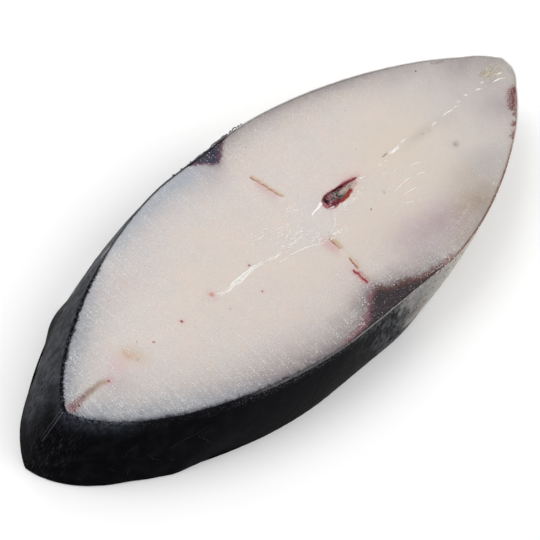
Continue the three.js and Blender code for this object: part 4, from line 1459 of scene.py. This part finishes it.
def make_saw_scores(recipe, finish):
    """Raised burrs that the saw left, white as painted glints: the long ones that show, and short ones near
    the rim.
    """
    threads = Threads()
    for k, line in enumerate(SAW_SCORES):
        threads.on_face(line, 0.14, 0.05, 200 + k, 0.0)
    for k in range(400):
        x = random.uniform(3, 100) if k % 3 else random.uniform(3, 50)
        side = random.choice([-1, 1])
        reach = rim_at(side, np.array([x]))[0]
        inward = random.exponential(6.0) + 0.6
        if inward > reach - 0.5:
            continue
        y = side * (reach - inward)
        length = random.uniform(0.4, 1.6)
        tilt = random.uniform(-0.04, 0.10)
        line = [(x, y), (x + tilt * length, y - side * length)]
        threads.on_face(line, random.uniform(0.07, 0.13), 0.03, 300 + k, 0.0, spacing=0.5)
    scores = threads.grow(recipe, "saw_scores", finish, sides=4, flatness=0.7)
    return scores


def make_fin_fibres(recipe, finish):
    """Tan and white fibres that fan out at the belly fin's root."""
    threads = Threads()
    for k in range(64):
        across = random.uniform(-1, 1)
        start = np.array([random.triangular(186.5, 189, 194.5), 0.9 + 1.9 * across])
        end = start + [random.uniform(1.5, 4.5), 0.25 * across - random.uniform(0.0, 0.6)]
        middle = (start + end) / 2 + [0, random.uniform(-0.12, 0.12)]
        threads.on_face([start, middle, end], random.uniform(0.08, 0.17), 0.08, 400 + k, -0.02)
    fibres = threads.grow(recipe, "fin_fibres", finish, sides=5, flatness=0.7)
    return fibres


def scattered(count, low, high, wanted):
    """Random places on the face, kept with the chance that wanted(points, edge) gives."""
    points = random.uniform(low, high, (count, 2))
    points = points[inside(points, FLESH_RING)]
    edge = ring_distance(points, FLESH_RING)
    keep = (random.random(len(points)) < wanted(points, edge)) & (edge > 0.3)
    return points[keep & ~inside(points, canal_outline(0.0))]


def glint_wish(points, edge):
    """How many beads of painted glint lie where: most near the rim, little in the middle of each flake and at
    the belly.
    """
    x, y = points[:, 0], points[:, 1]
    patches = smooth_step(layered_noise(points, 5.0, 91), -0.15, 0.55)
    rim = 0.12 + 0.9 * np.exp(-edge / 5) * (1 - 0.6 * smooth_step(x, 78, 88) * (y < 0))
    middle_line = 0.9 * np.exp(-(((y + 0.5) / 1.8) ** 2)) * smooth_step(x, 15, 45) * (x < 130)
    belly = 1 - 0.9 * smooth_step(x, 115, 140) * (1 - 0.6 * np.exp(-edge / 2))
    low_right = 0.4 * smooth_step(-y, 12, 24) * smooth_step(x, 70, 95) * (1 - smooth_step(x, 136, 152))
    near_muscle = np.exp(-(((x - 104) / 22) ** 2) - ((edge - 5) / 6) ** 2) * (y < 0)
    wish = (rim * patches + middle_line * patches) * belly + low_right * patches + 0.1 * near_muscle
    dark_edge = smooth_step(edge, 1.0, 2.8) * (x < 84) * (y < 0) + (x >= 84) + (y >= 0) * (x < 84)
    in_muscle = np.maximum(muscle_depth(points, LEFT_MUSCLE), muscle_depth(points, RIGHT_MUSCLE)) > 0
    return np.clip(wish * dark_edge * np.where(in_muscle, np.where(y < 0, 0.02, 0.2), 1), 0, 1)


def dotted_rows(count, along_rim):
    """Rows of painted glint dots: along the rim on the right flank, or across the slice as the saw went."""
    rows = []
    for k in range(count):
        if along_rim:
            x, inward = random.uniform(80, 146), random.exponential(3.0) + 0.35
            stations = x + np.arange(0, random.uniform(2, 8), random.uniform(0.45, 0.9))
            rows.append(np.stack([stations, inward - rim_at(-1, stations)], 1))
            continue
        x, side = random.uniform(2, 106) if k % 2 else random.uniform(2, 60), random.choice([-1, 1])
        reach = rim_at(side, np.array([x]))[0]
        clear = 0.4 if side > 0 else 1.6
        length = random.uniform(9, 24) if k % 6 == 0 else random.uniform(2, 12)
        inward = random.exponential(5.0) + clear + np.arange(0, length, random.uniform(0.4, 0.9))
        row = np.stack([x + 0.05 * inward, side * (reach - inward)], 1)
        rows.append(row[inward < reach - 1])
    rows = np.concatenate(rows)
    rows += random.normal(0, 0.1, rows.shape)
    wanted = np.where(muscle_depth(rows, RIGHT_MUSCLE) > 0, 0.06, 0.65)
    return rows[(random.random(len(rows)) < wanted) & inside(rows, FLESH_RING)]


def make_glint_beads(recipe, finish, name, points, smallest, largest, stretch, turn):
    """White beads of painted glint on given places of the cut face."""
    edge = ring_distance(points, FLESH_RING)
    mesh = bpy.data.meshes.new(name + "_places")
    size = random.uniform(smallest, largest, len(points))
    heights = np.minimum(face_height(points, edge), THICKNESS - TOP_CLEARANCE - 0.5 * size)
    mesh.from_pydata(to_part(points, heights).tolist(), [], [])
    for key, values in (("size", size * MM), ("stretch", random.uniform(1, stretch, len(points))),
                        ("turn", turn + random.uniform(-0.3, 0.3, len(points)))):
        mesh.attributes.new(key, "FLOAT", "POINT").data.foreach_set("value", values.astype(np.float32))
    frost = recipe.grow(name, mesh, Flatness=0.5, Finish=finish)
    return frost


# Loops of torn skin on the left rim: station and size
SHRED_LOOPS = [(84.8, 0.35), (102.6, 0.3), (104.4, 0.4), (106.2, 0.4), (107.8, 0.35), (110.2, 0.45),
               (111.9, 0.9), (113.6, 0.4), (114.8, 0.3), (92.4, 0.2), (88.3, 0.2)]


def make_torn_skin(recipe, finish):
    """Clear shreds of torn skin at the left dark muscle's edge, and the pale fold line down the back."""
    threads = Threads()
    for x, size in SHRED_LOOPS:
        reach = rim_at(1, np.array([x]))[0] + 0.25
        angle = np.linspace(0, 2 * math.pi, 12)
        loop = np.stack([x + size * np.cos(angle), reach + 0.42 * size * np.sin(angle)], 1)
        threads.add(to_part(loop, THICKNESS - 0.3 + 0.12 * np.sin(angle)), 0.17 * MM)
    for first, last, out, thickness in ((88, 94, 0.12, 0.2), (92, 109, 0.2, 0.34), (101.5, 108.8, 0.45, 0.3)):
        stations = np.arange(first, last, 0.25)
        along = np.stack([stations, stations * 0], 1)
        outward = rim_at(1, stations) + out + 0.18 * layered_noise(along, 1.6, int(first))
        fringe = to_part(np.stack([stations, outward], 1), THICKNESS - 0.25)
        threads.add(fringe, thickness / 2 * MM * (1 + 0.4 * value_noise(along, 0.9, 7)))
    heights = np.linspace(0.985, 0.5, 26)
    for offset, thickness in ((1, 0.2), (3, 0.1)):
        places = [to_part(skin_wall(0, h)[[-offset]], h * THICKNESS)[0] for h in heights]
        threads.add(np.array(places), thickness / 2 * MM * np.linspace(1, 0.3, len(heights)))
    shreds = threads.grow(recipe, "torn_skin", finish, sides=6, flatness=1.0)
    return shreds


def wall_places(side, line, spacing, sway, seed):
    """Close points along a line of (station, height) on the outside of the skin."""
    stations = RING_STATION[RING_SIDE == side]
    order = np.flatnonzero(RING_SIDE == side)
    walked = np.interp([s for s, h in line], stations[::side * -1], order[::side * -1]) * RIM_STEP
    path = wander(np.stack([walked, [h * THICKNESS for s, h in line]], 1), spacing, sway, seed)
    places = []
    for along, up in path:
        ring = skin_wall(0, np.clip(up / THICKNESS, 0, 1))
        at = along / RIM_STEP
        low, share = int(at), at - int(at)
        point = ring[low] * (1 - share) + ring[(low + 1) % len(ring)] * share
        places.append(to_part(point[None, :], up)[0])
    return np.array(places)


def make_skin_creases(recipe, finish):
    """Fine creases of the skin."""
    threads = Threads()
    for k, (side, line) in enumerate(WALL_CREASES):
        places = wall_places(side, line, 0.3, 0.3, 500 + k)
        ends = np.linspace(0, 1, len(places))
        threads.add(places, (0.015 + 0.045 * np.sin(ends * math.pi)) * MM)
    creases = threads.grow(recipe, "skin_creases", finish, sides=5, flatness=1.0)
    return creases


# ---------------------------------------------------------------------------------------------
# Camera, light and floor
# ---------------------------------------------------------------------------------------------
VIEW = dict(azimuth=200.176, elevation=51.8, roll=26.41, distance=1300.0, lens=301.89)
AIM = (90.35, -1.93, 12.0)


def place_camera():
    azimuth, elevation, roll = (math.radians(VIEW[k]) for k in ("azimuth", "elevation", "roll"))
    outwards = Vector((math.cos(elevation) * math.cos(azimuth), math.cos(elevation) * math.sin(azimuth),
                       math.sin(elevation)))
    aim = Vector(to_part(np.array([AIM[:2]]), AIM[2])[0])
    data = bpy.data.cameras.new("studio_camera")
    data.sensor_width = 36
    data.lens = VIEW["lens"]
    data.clip_start, data.clip_end = 0.05, 20
    camera = bpy.data.objects.new("studio_camera", data)
    bpy.context.scene.collection.objects.link(camera)
    camera.location = aim + outwards * VIEW["distance"] * MM
    right = (-outwards).cross(Vector((0, 0, 1))).normalized()
    up = right.cross(-outwards)
    turned_right = right * math.cos(roll) + up * math.sin(roll)
    turned_up = up * math.cos(roll) - right * math.sin(roll)
    matrix = camera.matrix_world.copy()
    for row in range(3):
        matrix[row][0], matrix[row][1], matrix[row][2] = turned_right[row], turned_up[row], outwards[row]
        matrix[row][3] = camera.location[row]
    camera.matrix_world = matrix
    bpy.context.scene.camera = camera


def area_light(name, place, size, power):
    data = bpy.data.lights.new(name, "AREA")
    data.shape = "DISK"
    data.size = size
    data.energy = power
    light = bpy.data.objects.new(name, data)
    bpy.context.scene.collection.objects.link(light)
    light.location = place
    light.rotation_mode = "QUATERNION"
    light.rotation_quaternion = Vector(place).to_track_quat("Z", "Y")


def build_studio():
    floor_finish = Finish("studio_floor")
    grain = floor_finish.grain(40, 1, 2)
    colour = floor_finish.mix(grain, (0.95, 0.95, 0.95, 1), (0.97, 0.97, 0.97, 1))
    floor_finish.finish(colour, 0.9, Specular_IOR_Level=0.0)
    half, level = 3.0, -0.0003  # the floor lies just under the slice
    corners = [(-half, -half, level), (half, -half, level), (half, half, level), (-half, half, level)]
    floor = mesh_object("studio_floor", corners, [(0, 1, 2, 3)], floor_finish.material)
    world = bpy.data.worlds.new("studio_world")
    world.use_nodes = True
    background = world.node_tree.nodes["Background"].inputs
    background["Color"].default_value = (1, 1, 1, 1)
    background["Strength"].default_value = 0.85
    bpy.context.scene.world = world
    area_light("soft_key", (-0.35, 0.55, 1.1), 0.7, 4.5)
    area_light("soft_fill", (0.5, -0.6, 1.2), 0.9, 2)
    bpy.context.scene.view_settings.view_transform = "Standard"


# ---------------------------------------------------------------------------------------------
# Assembly
# ---------------------------------------------------------------------------------------------
flesh_finish = make_meat_finish("wet_raw_flesh", 0.25, **SOFT_SKIN_LIGHT)
muscle_finish = make_meat_finish("dark_muscle", 0.2)
bone_finish = make_vertebra_finish()
plain_finishes = {name: make_plain_finish(name, *values) for name, values in PLAIN_FINISHES.items()}

upper_plan = CutPlan(TOP_SPACING, relief_lines())
under_plan = CutPlan(UNDER_SPACING, [])
pieces = []
for name, node, slot, finish, wall_rows in (
    ("flesh", "flesh", "flesh", flesh_finish, 8),
    ("vertebra", "backbone", "bone", bone_finish, 4),
    ("fin_root", "fin_base", "fin_fibre", flesh_finish, 3),
    ("dark_muscle_left", "dark_muscle_left", "dark_muscle", muscle_finish, 8),
    ("dark_muscle_right", "dark_muscle_right", "dark_muscle", muscle_finish, 8),
):
    piece = build_layer(name, finish, upper_plan, under_plan, wall_rows)
    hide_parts(node)
    pieces.append(piece)

strands = strand_recipe()
pieces += [
    make_skin(make_skin_finish()),
    make_canal_tissue(make_clot_finish()),
    make_canal_flap(plain_finishes["pale_membrane"]),
    make_bone_sliver(plain_finishes["white_bone"]),
    make_septum_threads(strands, plain_finishes["white_connective_tissue"]),
    make_saw_scores(strands, plain_finishes["glinting_saw_burr"]),
    make_fin_fibres(strands, plain_finishes["fin_fibre"]),
    make_torn_skin(strands, plain_finishes["clear_shred"]),
    make_skin_creases(strands, plain_finishes["creased_skin"]),
]
# The white beads are painted glints: they stand in for the sparkle of the wet cut face.
beads = bead_recipe()
upright = 0.0
along_rim = math.pi / 2
for name, places, smallest, largest, stretch, turn in (
    ("glint_beads", scattered(52000, (0, -38), (SLICE_LENGTH, 38), glint_wish), 0.06, 0.15, 1.4, upright),
    ("glint_rows", dotted_rows(420, False), 0.08, 0.17, 1.6, upright),
    ("glint_rim_rows", dotted_rows(300, True), 0.05, 0.11, 1.4, along_rim),
):
    pieces.append(make_glint_beads(beads, plain_finishes["frost"], name, places, smallest, largest, stretch, turn))
for piece in pieces:
    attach(piece, "root")

place_camera()
build_studio()
